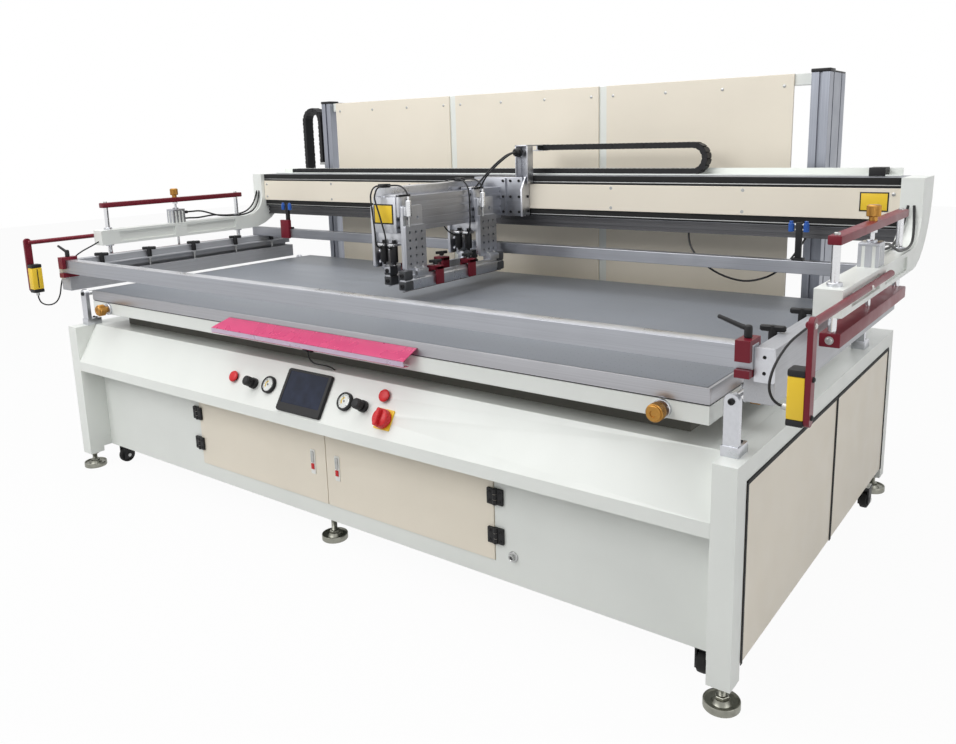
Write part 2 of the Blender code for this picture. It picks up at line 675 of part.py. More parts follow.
def controls(press):
    width, height, thick = SCREEN_SIZE
    screen = block((-width / 2, width / 2), (-height / 2, height / 2), (CLEAR, thick))
    made = press.part("touch_screen", screen, BLACK_PLASTIC)
    made.matrix_world = slope_frame(*SCREEN_PLACE)
    lift = BUTTON_TRAVEL + RUNNING
    for name, place in BUTTON_PLACES.items():
        profile = shaped(BUTTON_SHAPE, BUTTON_RADIUS, BUTTON_CROWN, lift) + stem_profile(lift)
        press.turned(name, profile, RED_PLASTIC, slope_frame(*place))
    for name, place in REGULATOR_PLACES.items():
        profile = shaped(REGULATOR_SHAPE, REGULATOR_RADIUS, REGULATOR_LENGTH, CLEAR) + stem_profile(CLEAR)
        press.turned(name, profile, BLACK_PLASTIC, slope_frame(*place))
    profile = shaped(SWITCH_SHAPE, SWITCH_RADIUS, SWITCH_DISC, CLEAR) + stem_profile(CLEAR)
    frame = slope_frame(*SWITCH_PLACE)
    width, length, top = SWITCH_GRIP
    grip = block((-width / 2, width / 2), (-length / 2, length / 2), (SWITCH_DISC / 2, top))
    grip.transform(frame)
    press.turned("main_switch_knob", profile, RED_PLASTIC, frame, joined=[grip])


def levelling_feet(press):
    top = LEG_BOTTOM + FOOT_BORE_DEPTH - RUNNING
    nut_low, nut_high = FOOT_NUT
    profile = [(0, top), (FOOT_STEM, top), (FOOT_STEM, nut_high), (FOOT_NUT_RADIUS, nut_high)]
    profile += [(FOOT_NUT_RADIUS, nut_low), *shaped(FOOT_SHAPE, FOOT_RADIUS, FOOT_PAD, 0)]
    for name, side in SIDES.items():
        for place, back in (("front", LEG / 2), ("rear", BASE_DEPTH - LEG / 2)):
            frame = Matrix.Translation((side * (HALF - LEG / 2), depth(back), 0))
            press.turned(f"levelling_foot_{place}_{name}", profile, ZINC, frame)


def castor_wheels(press):
    half = WHEEL_WIDTH / 2
    end = half + RUNNING + FORK_THICK
    crown = WHEEL_RADIUS - WHEEL_ROUND
    tread = WHEEL_TREAD / 2
    profile = [(0, end), (AXLE_RADIUS, end), (AXLE_RADIUS, half), (crown, half), (WHEEL_RADIUS, tread)]
    profile += [(WHEEL_RADIUS, -tread), (crown, -half), (AXLE_RADIUS, -half), (AXLE_RADIUS, -end), (0, -end)]
    for name, side in SIDES.items():
        for place, (across, back) in CASTOR_PLACES.items():
            centre = Matrix.Translation((side * across, depth(back), WHEEL_LIFT + WHEEL_RADIUS))
            frame = centre @ Matrix.Rotation(math.pi / 2, 4, "Y")
            press.turned(f"castor_wheel_{place}_{name}", profile, BLACK_PLASTIC, frame)


def knob_frames():
    """Where each fine-adjustment knob stands on the table frame, its Z axis pointing out."""
    frames = {}
    for name, side in SIDES.items():
        place = Matrix.Translation((side * FRONT_KNOB_X, depth(TABLE_FRONT), KNOB_Z))
        frames[f"table_knob_front_{name}"] = place @ Matrix.Rotation(math.pi / 2, 4, "X")
    place = Matrix.Translation((TABLE_HALF, depth(SIDE_KNOB_DEPTH), KNOB_Z))
    frames["table_knob_side"] = place @ Matrix.Rotation(math.pi / 2, 4, "Y")
    return frames


def printing_table(press):
    frame_top = TABLE_TOP - TABLE_PLATE - CLEAR
    frame_low = frame_top - TABLE_FRAME
    across = (-TABLE_HALF, TABLE_HALF)
    along = (depth(TABLE_FRONT), depth(TABLE_REAR))
    press.part("table_top", block(across, along, (TABLE_TOP - TABLE_PLATE, TABLE_TOP)), TABLE_GREY)
    plinth_half = TABLE_HALF - PLINTH_INSET_X
    plinth_along = (depth(TABLE_FRONT + PLINTH_INSET_Y), depth(TABLE_REAR - PLINTH_INSET_Y))
    joined = [block((-plinth_half, plinth_half), plinth_along, (DECK_Z + CLEAR, frame_low + CLEAR))]
    hollow_half = plinth_half - PLINTH_WALL
    hollow_along = (plinth_along[0] + PLINTH_WALL, plinth_along[1] - PLINTH_WALL)
    cut = [block((-hollow_half, hollow_half), hollow_along, (DECK_Z - SHEET, frame_top - PLINTH_WALL))]
    for frame in knob_frames().values():
        collar = [frame @ Vector((0, 0, reach)) for reach in (-FLANGE_LENGTH, FLANGE_LENGTH)]
        joined.append(cylinder(*collar, FLANGE_RADIUS))
        bore = [frame @ Vector((0, 0, reach)) for reach in (-SPINDLE_DEPTH - RUNNING, 2 * FLANGE_LENGTH)]
        cut.append(cylinder(*bore, SPINDLE_RADIUS + CLEAR))
    press.part("table_frame", block(across, along, (frame_low, frame_top)), WHITE_PAINT, joined, cut)


def table_knobs(press):
    near = FLANGE_LENGTH + RUNNING
    far = KNOB_NECK + KNOB_LENGTH
    rim = KNOB_RADIUS - KNOB_BEVEL
    profile = [(0, far), (rim, far), (KNOB_RADIUS, far - KNOB_BEVEL), (KNOB_RADIUS, KNOB_NECK + KNOB_BEVEL)]
    profile += [(rim, KNOB_NECK), (KNOB_NECK_RADIUS, KNOB_NECK), (KNOB_NECK_RADIUS, near)]
    profile += [(SPINDLE_RADIUS, near), (SPINDLE_RADIUS, -SPINDLE_DEPTH), (0, -SPINDLE_DEPTH)]
    for name, frame in knob_frames().items():
        press.turned(name, profile, BRASS, frame)


def side_rods(press):
    foot_top = DECK_Z + POST_FOOT_HEIGHT
    for name, side in SIDES.items():
        middle = side * ROD_X
        half = POST_WIDTH / 2
        start = depth(POST_DEPTHS[0] + POST_THICK / 2)
        end = depth(POST_DEPTHS[1] + POST_THICK / 2)
        rod = cylinder((middle, start, ROD_Z), (middle, end, ROD_Z), ROD_RADIUS)
        joined = []
        for front in POST_DEPTHS:
            crown = arc((middle, ROD_Z), half, 0, 180)
            outline = [(middle + half, DECK_Z + CLEAR), *crown, (middle - half, DECK_Z + CLEAR)]
            joined.append(prism(outline, "Y", depth(front), depth(front + POST_THICK)))
            foot = (depth(front - CLEAR), depth(front + POST_FOOT))
            joined.append(block((middle - half, middle + half), foot, (DECK_Z + CLEAR, foot_top)))
        press.part(f"side_rod_{name}", rod, ALUMINIUM, joined, smooth=True)


def column_outline(name, side):
    """An extrusion's section, with a slot down the middle of the front, rear and both flanks."""
    inner, outer = sorted((side * COLUMN_INNERS[name], side * (COLUMN_INNERS[name] + COLUMN_WIDTH)))
    front, rear = depth(COLUMN_FRONT), depth(COLUMN_FRONT + COLUMN_DEPTH)
    middle = (inner + outer) / 2
    half = COLUMN_SLOT / 2
    flanks = [front + place for place in COLUMN_FLANK_SLOTS]
    outline = [(inner, front), (middle - half, front), (middle - half, front + COLUMN_SLOT_DEPTH)]
    outline += [(middle + half, front + COLUMN_SLOT_DEPTH), (middle + half, front), (outer, front)]
    for flank in flanks:
        outline += [(outer, flank - half), (outer - COLUMN_SLOT_DEPTH, flank - half)]
        outline += [(outer - COLUMN_SLOT_DEPTH, flank + half), (outer, flank + half)]
    outline += [(outer, rear), (inner, rear)]
    for flank in reversed(flanks):
        outline += [(inner, flank + half), (inner + COLUMN_SLOT_DEPTH, flank + half)]
        outline += [(inner + COLUMN_SLOT_DEPTH, flank - half), (inner, flank - half)]
    return outline


def columns_and_back(press):
    for name, side in SIDES.items():
        shape = prism(column_outline(name, side), "Z", DECK_Z + CLEAR, COLUMN_TOP)
        press.part(f"column_{name}", shape, ALUMINIUM)
    front = BACK_PANEL_FRONT + BACK_PANEL + CLEAR
    along = (depth(front), depth(front + REAR_FRAME))
    between = (CLEAR - COLUMN_INNERS["left"], COLUMN_INNERS["right"] - CLEAR)
    low = DECK_Z + CLEAR
    joined = [block(between, along, (low, low + REAR_FRAME))]
    for middle in (BACK_LEFT + BACK_WIDTH + BACK_GAP / 2, BACK_RIGHT - BACK_WIDTH - BACK_GAP / 2):
        joined.append(block((middle - REAR_POST / 2, middle + REAR_POST / 2), along, (low, COLUMN_TOP)))
    top = block(between, along, (COLUMN_TOP - REAR_FRAME, COLUMN_TOP))
    press.part("rear_frame", top, WHITE_PAINT, joined)
    panel = (depth(BACK_PANEL_FRONT), depth(BACK_PANEL_FRONT + BACK_PANEL))
    spans = {
        "left": (BACK_LEFT, BACK_LEFT + BACK_WIDTH),
        "centre": (BACK_LEFT + BACK_WIDTH + BACK_GAP, BACK_RIGHT - BACK_WIDTH - BACK_GAP),
        "right": (BACK_RIGHT - BACK_WIDTH, BACK_RIGHT),
    }
    for name, span in spans.items():
        press.part(f"back_panel_{name}", block(span, panel, (BACK_PANEL_LOW, COLUMN_TOP)), BEIGE_PAINT)


def beam(press):
    """The cross beam: box section, stiffener below, cable tray on top, shoes that run in the columns' slots."""
    half = ARM_INNER - CLEAR
    face = depth(BEAM_FACE)
    rear = depth(PLATE_REAR)
    tray_top = BEAM_TOP + TRAY_HEIGHT
    floor = BEAM_TOP + TRAY_WALL
    outline = [
        (face, BEAM_LOW),
        (face, BEAM_TOP),
        (depth(TRAY_FRONT), BEAM_TOP),
        (depth(TRAY_FRONT), tray_top),
        (depth(TRAY_FRONT + TRAY_WALL), tray_top),
        (depth(TRAY_FRONT + TRAY_WALL), floor),
        (depth(TRAY_REAR - TRAY_WALL), floor),
        (depth(TRAY_REAR - TRAY_WALL), tray_top),
        (depth(TRAY_REAR), tray_top),
        (depth(TRAY_REAR), BEAM_TOP),
        (rear, BEAM_TOP),
        (rear, BEAM_LOW),
        (depth(BEAM_FACE + STIFFENER_DEPTH), BEAM_LOW),
        (depth(BEAM_FACE + STIFFENER_DEPTH), STIFFENER_LOW),
        (face, STIFFENER_LOW),
    ]
    joined = []
    column_front = COLUMN_FRONT - CLEAR
    for name, side in SIDES.items():
        middle = side * (COLUMN_INNERS[name] + COLUMN_WIDTH / 2)
        shoe = (middle - COLUMN_WIDTH / 2, middle + COLUMN_WIDTH / 2)
        joined.append(block(shoe, (rear - RUNNING, depth(column_front)), (SHOE_LOW, SHOE_HIGH)))
        tongue = (middle - COLUMN_SLOT / 2 + CLEAR, middle + COLUMN_SLOT / 2 - CLEAR)
        joined.append(block(tongue, (depth(column_front - RUNNING), depth(COLUMN_FRONT + TONGUE)), (SHOE_LOW, SHOE_HIGH)))
    press.part("beam", prism(outline, "X", -half, half), ALUMINIUM, joined)
    cover = (depth(COVER_FRONT), depth(BEAM_FACE - CLEAR))
    press.part("beam_cover", block((-half + CLEAR, half - CLEAR), cover, (COVER_LOW, COVER_HIGH)), BEIGE_PAINT)


def arm_outline():
    """The side view of an arm: a straight box that sweeps up into the end plate of the beam."""
    inside = arc((PLATE_FRONT - THROAT_RADIUS, ARM_HIGH + THROAT_RADIUS), THROAT_RADIUS, 270, 360)
    outside = arc((PLATE_REAR - HEEL_RADIUS, ARM_LOW + HEEL_RADIUS), HEEL_RADIUS, 360, 270)
    outline = [(ARM_FRONT, ARM_LOW), (ARM_FRONT, ARM_HIGH), *inside, (PLATE_FRONT, BEAM_TOP), (PLATE_REAR, BEAM_TOP)]
    return [(depth(back), height) for back, height in outline + outside]


def arms(press):
    first, last = LIFT_POST_DEPTHS
    pocket_runs = [(first + POCKET_POST_GAP, LIFT_MIDDLE - POCKET_MIDDLE_GAP)]
    pocket_runs.append((LIFT_MIDDLE + POCKET_MIDDLE_GAP, last - POCKET_POST_GAP))
    pocket_z = (ARM_LOW + POCKET_MARGIN, ARM_HIGH - POCKET_MARGIN)
    for name, side in SIDES.items():
        shape = prism(arm_outline(), "X", side * ARM_INNER, side * ARM_OUTER)
        cut = []
        for start, end in pocket_runs:
            for face, inward in ((ARM_INNER, 1), (ARM_OUTER, -1)):
                span = (side * (face - inward * RUNNING), side * (face + inward * POCKET_DEPTH))
                cut.append(block(span, (depth(start), depth(end)), pocket_z))
        middle = side * ARM_MIDDLE
        for back in LIFT_POST_DEPTHS:
            ends = [(middle, depth(back), height) for height in (ARM_LOW - POCKET_DEPTH, BEAM_TOP)]
            cut.append(cylinder(*ends, LIFT_POST_RADIUS + CLEAR))
        width, length, height = CYLINDER_BLOCK
        block_z = (ARM_HIGH - RUNNING, ARM_HIGH + height)
        along = (depth(LIFT_MIDDLE - length / 2), depth(LIFT_MIDDLE + length / 2))
        cylinder_block = block((middle - width / 2, middle + width / 2), along, block_z)
        ends = [(middle, depth(LIFT_MIDDLE), end) for end in (ARM_HIGH + PISTON_FLOOR, ARM_HIGH + 2 * height)]
        cut.append(cylinder(*ends, PISTON_RADIUS + CLEAR))
        press.part(f"arm_{name}", shape, WHITE_PAINT, [cylinder_block], cut)


def lift_frames(press):
    """Each arm's off-contact frame: a top bar, two posts through the arm, and a low bar that carries the rail."""
    for name, side in SIDES.items():
        middle = side * ARM_MIDDLE
        top_half = LIFT_BAR_WIDTH / 2
        low_half = LOW_BAR_WIDTH / 2
        low_z = (LOW_BAR_LOW, LOW_BAR_HIGH)
        top_along = (depth(LIFT_BAR[0]), depth(LIFT_BAR[1]))
        top_bar = block((middle - top_half, middle + top_half), top_along, (LIFT_BAR_LOW, LIFT_BAR_HIGH))
        joined = [block((middle - low_half, middle + low_half), (depth(LOW_BAR[0]), depth(LOW_BAR[1])), low_z)]
        posts = [(back, LIFT_POST_RADIUS, LOW_BAR_HIGH) for back in LIFT_POST_DEPTHS]
        posts.append((LIFT_MIDDLE, PISTON_RADIUS, ARM_HIGH + 2 * PISTON_FLOOR))
        for back, radius, low in posts:
            ends = [(middle, depth(back), height) for height in (low - RUNNING, LIFT_BAR_LOW + RUNNING)]
            joined.append(cylinder(*ends, radius))
        seat = (side * (RAIL_OUTER + CLEAR), middle)
        for back in LIFT_POST_DEPTHS:
            along = (depth(back - low_half + 2 * SEAT_INSET), depth(back + low_half - SEAT_INSET))
            joined.append(block(seat, along, (LOW_BAR_LOW + SEAT_INSET, LOW_BAR_HIGH - SEAT_INSET)))
        stud = [(middle, depth(LIFT_MIDDLE), LIFT_BAR_HIGH + end) for end in (-LIFT_KNOB_STUD, LIFT_KNOB_STUD)]
        cut = [cylinder(*stud, SPINDLE_RADIUS + CLEAR)]
        press.part(f"lift_frame_{name}", top_bar, MAROON_PAINT, joined, cut)
        top = LIFT_KNOB_LENGTH
        rim = LIFT_KNOB_RADIUS - KNOB_BEVEL
        profile = [(0, top), (rim, top), (LIFT_KNOB_RADIUS, top - KNOB_BEVEL), (LIFT_KNOB_RADIUS, LIFT_KNOB_NECK)]
        profile += [(KNOB_NECK_RADIUS, LIFT_KNOB_NECK - KNOB_BEVEL), (KNOB_NECK_RADIUS, CLEAR)]
        end = RUNNING - LIFT_KNOB_STUD
        profile += [(SPINDLE_RADIUS, CLEAR), (SPINDLE_RADIUS, end), (0, end)]
        frame = Matrix.Translation((middle, depth(LIFT_MIDDLE), LIFT_BAR_HIGH))
        press.turned(f"lift_knob_{name}", profile, BRASS, frame)


def screen_holder(press):
    for name, side in SIDES.items():
        slot_low = RAIL_MIDDLE - RAIL_SLOT
        outline = [
            (RAIL_OUTER, RAIL_BOTTOM),
            (RAIL_OUTER, RAIL_TOP),
            (RAIL_INNER, RAIL_TOP),
            (RAIL_INNER, RAIL_MIDDLE),
            (RAIL_OUTER - RAIL_WEB, RAIL_MIDDLE),
            (RAIL_OUTER - RAIL_WEB, slot_low),
            (RAIL_LOWER_INNER, slot_low),
            (RAIL_LOWER_INNER, RAIL_BOTTOM),
        ]
        outline = [(side * across, height) for across, height in outline]
        rail = prism(outline, "Y", depth(RAIL_FRONT), depth(RAIL_REAR))
        press.part(f"screen_rail_{name}", rail, ALUMINIUM)
    half = RAIL_INNER - CLEAR
    along = (depth(BAR_FRONT), depth(BAR_FRONT + BAR_DEPTH))
    press.part("screen_front_bar", block((-half, half), along, (BAR_LOW, BAR_HIGH)), ALUMINIUM)
    rear_z = (RAIL_TOP + CLEAR, RAIL_TOP + REAR_BAR_HEIGHT)
    along = (depth(REAR_BAR_FRONT), depth(REAR_BAR_FRONT + BAR_DEPTH))
    press.part("screen_rear_bar", block((-RAIL_OUTER, RAIL_OUTER), along, rear_z), ALUMINIUM)


def corner_clamps(press):
    """A clamp hooked round each end of the front bar, and the lever whose stud presses on the bar."""
    back = BAR_FRONT + BAR_DEPTH + CLEAR
    lever_depth = BAR_FRONT + BAR_DEPTH / 2
    for name, side in SIDES.items():
        outline = [
            (CLAMP_FRONT, CLAMP_LIP_LOW),
            (CLAMP_FRONT, CLAMP_TOP),
            (back + CLAMP_BACK, CLAMP_TOP),
            (back + CLAMP_BACK, CLAMP_LOW),
            (CLAMP_FRONT, CLAMP_LOW),
            (CLAMP_FRONT, BAR_LOW - CLEAR),
            (back, BAR_LOW - CLEAR),
            (back, BAR_HIGH + CLEAR),
            (BAR_FRONT - CLEAR, BAR_HIGH + CLEAR),
            (BAR_FRONT - CLEAR, CLAMP_LIP_LOW),
        ]
        outline = [(depth(across), height) for across, height in outline]
        shape = prism(outline, "X", side * CLAMP_INNER, side * CLAMP_OUTER)
        axis_x = side * (CLAMP_INNER + CLAMP_OUTER) / 2
        axis = [(axis_x, depth(lever_depth), height) for height in (BAR_HIGH, CLAMP_TOP + RUNNING)]
        press.part(f"clamp_{name}", shape, MAROON_PAINT, cut=[cylinder(*axis, LEVER_STUD + CLEAR)])
        foot = CLAMP_TOP + CLEAR
        top = foot + LEVER_HEIGHT
        hub = cylinder((axis_x, depth(lever_depth), foot), (axis_x, depth(lever_depth), top), LEVER_HUB)
        stud = cylinder((axis_x, depth(lever_depth), BAR_HIGH + CLEAR), (axis_x, depth(lever_depth), top), LEVER_STUD)
        grip_end = (axis_x - LEVER_REACH, depth(lever_depth), top + LEVER_RISE)
        grip = cylinder((axis_x, depth(lever_depth), top - LEVER_HUB), grip_end, LEVER_GRIP, ROUND // 2)
        origin = (axis_x, depth(lever_depth), foot)
        press.part(f"clamp_lever_{name}", hub, BLACK_PLASTIC, [stud, grip], origin=origin, smooth=True)


def light_curtain(press):
    """A tube along each arm, a flat bar down from its front end, and the sensor housing on that bar."""
    bar_thick, bar_depth = DROP_BAR
    sensor_width, sensor_depth = SENSOR_SIZE
    front = -SENSOR_REACH
    for name, side in SIDES.items():
        tube_x = side * (ARM_OUTER + CLEAR + TUBE_RADIUS)
        tube_front = depth(front + bar_depth / 2)
        tube = cylinder((tube_x, tube_front, TUBE_Z), (tube_x, depth(TUBE_REAR), TUBE_Z), TUBE_RADIUS)
        bar_inner = ARM_OUTER + CLEAR + TUBE_RADIUS
        bar_outer = bar_inner + bar_thick
        bar_span = (side * bar_inner, side * bar_outer)
        bar_along = (depth(front + RUNNING), depth(front + bar_depth))
        bar = block(bar_span, bar_along, (SENSOR_LOW + RUNNING, TUBE_Z + 2 * TUBE_RADIUS))
        sensor_span = (side * (bar_inner + RUNNING), side * (bar_inner - sensor_width))
        housing = block(sensor_span, (depth(front), depth(front + sensor_depth)), (SENSOR_LOW, SENSOR_HIGH))
        press.part(f"sensor_bracket_{name}", tube, MAROON_PAINT, [bar, housing])


def carriage(press):
    """The block that hooks over the beam's cover, with the mast that holds the end of the cable chain."""
    back = BEAM_FACE - CLEAR
    cover_gap = COVER_FRONT - CLEAR
    outline = [
        (CARRIAGE_FRONT, CARRIAGE_LOW),
        (CARRIAGE_FRONT, CARRIAGE_HIGH),
        (back, CARRIAGE_HIGH),
        (back, COVER_HIGH + RUNNING),
        (cover_gap, COVER_HIGH + RUNNING),
        (cover_gap, COVER_LOW - RUNNING),
        (back, COVER_LOW - RUNNING),
        (back, CARRIAGE_LOW),
    ]
    outline = [(depth(across), height) for across, height in outline]
    shape = prism(outline, "X", CARRIAGE_LEFT, CARRIAGE_RIGHT)
    mast_x = (MAST_LEFT, MAST_LEFT + MAST_WIDTH)
    mast_front = depth(COVER_FRONT - MAST_DEPTH)
    mast = block(mast_x, (mast_front, depth(COVER_FRONT)), (CARRIAGE_HIGH - MAST_BRACKET, MAST_TOP))
    chain_rear = (TRAY_FRONT + TRAY_REAR + CHAIN_WIDTH) / 2
    bracket = block(mast_x, (mast_front + RUNNING, depth(chain_rear)), (MAST_TOP - MAST_BRACKET, MAST_TOP - RUNNING))
    press.part("carriage", shape, ALUMINIUM, [mast, bracket])


def boom_and_heads(press):
    boom = block((BOOM_LEFT, BOOM_RIGHT), (depth(BOOM_FRONT), depth(CARRIAGE_FRONT - CLEAR)), (BOOM_LOW, BOOM_HIGH))
    press.part("squeegee_boom", boom, ALUMINIUM)
    outer = {-1: BOOM_LEFT - CLEAR - HEAD_PLATE, 1: BOOM_RIGHT + CLEAR + HEAD_PLATE}
    under = BOOM_LOW - CLEAR
    for name, (front, rear) in HEAD_DEPTHS.items():
        along = (depth(front), depth(rear))
        bridge = block((outer[-1], outer[1]), along, (under - HEAD_BRIDGE, under))
        plates = []
        for side, edge in outer.items():
            plates.append(block((edge, edge - side * HEAD_PLATE), along, (HEAD_LOW, HEAD_TOP)))
        press.part(f"head_{name}", bridge, ALUMINIUM, plates)


def blade_units(press):
    """The squeegee and the flood bar: a bar along the boom, hung on a slide at each head."""
    outside_right_plate = BOOM_RIGHT + 2 * CLEAR + HEAD_PLATE
    inside_left_plate = BOOM_LEFT
    units = {
        "squeegee": (outside_right_plate + HANGER_WIDTH / 2, SQUEEGEE_THICK, SQUEEGEE_HANGER_TOP, 0),
        "flood_bar": (inside_left_plate + HANGER_WIDTH / 2, FLOOD_THICK, FLOOD_HANGER_TOP, FLOOD_SETBACK),
    }
    for name, (centre, thick, top, setback) in units.items():
        ends = (depth(SQUEEGEE_ENDS[0] + setback), depth(SQUEEGEE_ENDS[1]))
        bar = block((centre - thick / 2, centre + thick / 2), ends, (BLADE_BAR_LOW, BLADE_BAR_HIGH))
        hangers = []
        for front, rear in HEAD_DEPTHS.values():
            place = (front + rear) / 2
            along = (depth(place - HANGER_DEPTH / 2), depth(place + HANGER_DEPTH / 2))
            span = (centre - HANGER_WIDTH / 2, centre + HANGER_WIDTH / 2)
            hangers.append(block(span, along, (BLADE_BAR_HIGH - RUNNING, top)))
        press.part(name, bar, ALUMINIUM, hangers)


def chain_loop(press):
    """The travelling bend of the cable chain, with the ends of its lower and upper runs."""
    low = BEAM_TOP + TRAY_WALL + CLEAR
    centre = (CHAIN_END_X, low + CHAIN_HEIGHT / 2 + CHAIN_RADIUS)
    outside = arc(centre, CHAIN_RADIUS + CHAIN_HEIGHT / 2, -90, 90, 2 * ARC_STEPS)
    inside = arc(centre, CHAIN_RADIUS - CHAIN_HEIGHT / 2, 90, -90, 2 * ARC_STEPS)
    start = CHAIN_END_X - CHAIN_LOWER_LEG
    top_start = CHAIN_END_X - CHAIN_UPPER_LEG
    outline = [(start, low), *outside, (top_start, outside[-1][1]), (top_start, inside[0][1]), *inside]
    outline.append((start, inside[-1][1]))
    middle = (TRAY_FRONT + TRAY_REAR) / 2
    ends = (depth(middle - CHAIN_WIDTH / 2), depth(middle + CHAIN_WIDTH / 2))
    press.part("chain_loop", prism(outline, "Y", *ends), BLACK_PLASTIC, smooth=True)


def main():
    clear_scene()
    press = Press()
    base_frame(press)
    top_cover(press)
    front_panel(press)
    cabinet_doors(press)
    side_panels(press)
    controls(press)
    levelling_feet(press)
    castor_wheels(press)
    printing_table(press)
    table_knobs(press)
    side_rods(press)
    columns_and_back(press)
    beam(press)
    arms(press)
    lift_frames(press)
    screen_holder(press)
    corner_clamps(press)
    light_curtain(press)
    carriage(press)
    boom_and_heads(press)
    blade_units(press)
    chain_loop(press)


main()
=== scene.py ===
import math

import bmesh
import bpy
from mathutils import Matrix, Vector


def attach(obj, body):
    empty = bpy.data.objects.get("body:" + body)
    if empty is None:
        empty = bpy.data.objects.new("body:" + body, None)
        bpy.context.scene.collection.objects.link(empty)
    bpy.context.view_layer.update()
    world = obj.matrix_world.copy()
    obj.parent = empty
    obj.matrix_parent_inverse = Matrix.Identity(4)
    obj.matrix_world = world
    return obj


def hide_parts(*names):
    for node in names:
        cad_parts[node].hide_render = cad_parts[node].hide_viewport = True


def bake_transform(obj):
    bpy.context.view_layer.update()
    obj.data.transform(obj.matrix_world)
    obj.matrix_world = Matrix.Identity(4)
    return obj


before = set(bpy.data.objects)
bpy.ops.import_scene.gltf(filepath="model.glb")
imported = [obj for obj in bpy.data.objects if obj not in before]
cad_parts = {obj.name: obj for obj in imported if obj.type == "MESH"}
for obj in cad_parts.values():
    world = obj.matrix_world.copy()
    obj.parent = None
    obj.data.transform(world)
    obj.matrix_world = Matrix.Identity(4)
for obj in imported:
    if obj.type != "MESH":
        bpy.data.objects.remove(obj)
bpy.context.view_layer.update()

# Lengths are metres. Places are given across the press (x), back from the
# front of the base and up from the floor.
BASE_FRONT = -0.770
SIDES = (("left", -1.0), ("right", 1.0))
ACROSS = Vector((1.0, 0.0, 0.0))
BACKWARD = Vector((0.0, 1.0, 0.0))
FORWARD = Vector((0.0, -1.0, 0.0))
UP = Vector((0.0, 0.0, 1.0))


def at(x, back, z):
    return Vector((x, BASE_FRONT + back, z))


def around(middle, half):
    return middle - half, middle + half


# Materials.

NOISE_RANGE = (0.3, 0.7)


def add_node(tree, kind, values, links, operation=None):
    """New node with the given values and links on its inputs."""
    made = tree.nodes.new(kind)
    if operation:
        made.operation = operation
    for socket, value in values.items():
        made.inputs[socket].default_value = value
    for socket, source in links.items():
        tree.links.new(source, made.inputs[socket])
    return made


def new_material(name, roughness, metallic=0.0, specular=0.5):
    made = bpy.data.materials.new(name)
    made.use_nodes = True
    tree = made.node_tree
    shader = tree.nodes["Principled BSDF"]
    shader.inputs["Roughness"].default_value = roughness
    shader.inputs["Metallic"].default_value = metallic
    shader.inputs["Specular IOR Level"].default_value = specular
    return made, tree, shader, add_node(tree, "ShaderNodeTexCoord", {}, {}).outputs["Object"]


def stretched(tree, place, scale):
    return add_node(tree, "ShaderNodeMapping", {"Scale": scale}, {"Vector": place}).outputs["Vector"]


def noise(tree, place, scale, detail):
    made = add_node(tree, "ShaderNodeTexNoise", {"Scale": scale, "Detail": detail}, {"Vector": place})
    return made.outputs["Fac"]


def shade(colour, factor):
    return tuple(min(1.0, part * factor) for part in colour)


def tones(tree, value, colour, stops):
    """Shades of a colour along a value; each stop is a position and a factor."""
    ramp = add_node(tree, "ShaderNodeValToRGB", {}, {"Fac": value})
    elements = ramp.color_ramp.elements
    elements[0].position, elements[1].position = stops[0][0], stops[-1][0]
    for position, _ in stops[1:-1]:
        elements.new(position)
    for element, (_, factor) in zip(elements, stops):
        element.color = (*shade(colour, factor), 1.0)
    return ramp.outputs["Color"]


def coloured(tree, shader, value, colour, *stops):
    tree.links.new(tones(tree, value, colour, stops), shader.inputs["Base Color"])


def roughened(tree, shader, value, low, high):
    values = {"From Min": NOISE_RANGE[0], "From Max": NOISE_RANGE[1], "To Min": low, "To Max": high}
    made = add_node(tree, "ShaderNodeMapRange", values, {"Value": value})
    tree.links.new(made.outputs["Result"], shader.inputs["Roughness"])


def bumped(tree, shader, value, strength, distance):
    bump = add_node(tree, "ShaderNodeBump", {"Strength": strength, "Distance": distance}, {"Height": value})
    tree.links.new(bump.outputs["Normal"], shader.inputs["Normal"])


def painted(name, colour, roughness, blotch=0.035, peel=0.10, specular=0.5):
    """Sprayed enamel: faint cloudiness, a fine orange peel, handled patches."""
    made, tree, shader, place = new_material(name, roughness, 0.0, specular)
    cloud = noise(tree, place, scale=3.1, detail=5.0)
    coloured(tree, shader, cloud, colour, (0.30, 1.0 - blotch), (0.55, 1.0), (0.75, 1.0 + blotch * 0.6))
    patches = noise(tree, place, scale=11.0, detail=4.0)
    roughened(tree, shader, patches, low=roughness - 0.06, high=roughness + 0.08)
    bumped(tree, shader, noise(tree, place, scale=420.0, detail=2.0), strength=peel, distance=0.0004)
    return made


def brushed(name, colour, roughness, grain, contrast=0.10, metallic=1.0):
    """Metal with a drawn grain; the grain numbers are small along the draw."""
    made, tree, shader, place = new_material(name, roughness, metallic)
    lines = noise(tree, stretched(tree, place, grain), scale=1.0, detail=4.0)
    coloured(tree, shader, lines, colour, (0.25, 1.0 - contrast), (0.5, 1.0), (0.8, 1.0 + contrast))
    patches = noise(tree, place, scale=9.0, detail=5.0)
    roughened(tree, shader, patches, low=roughness - 0.07, high=roughness + 0.09)
    bumped(tree, shader, lines, strength=0.06, distance=0.0003)
    return made


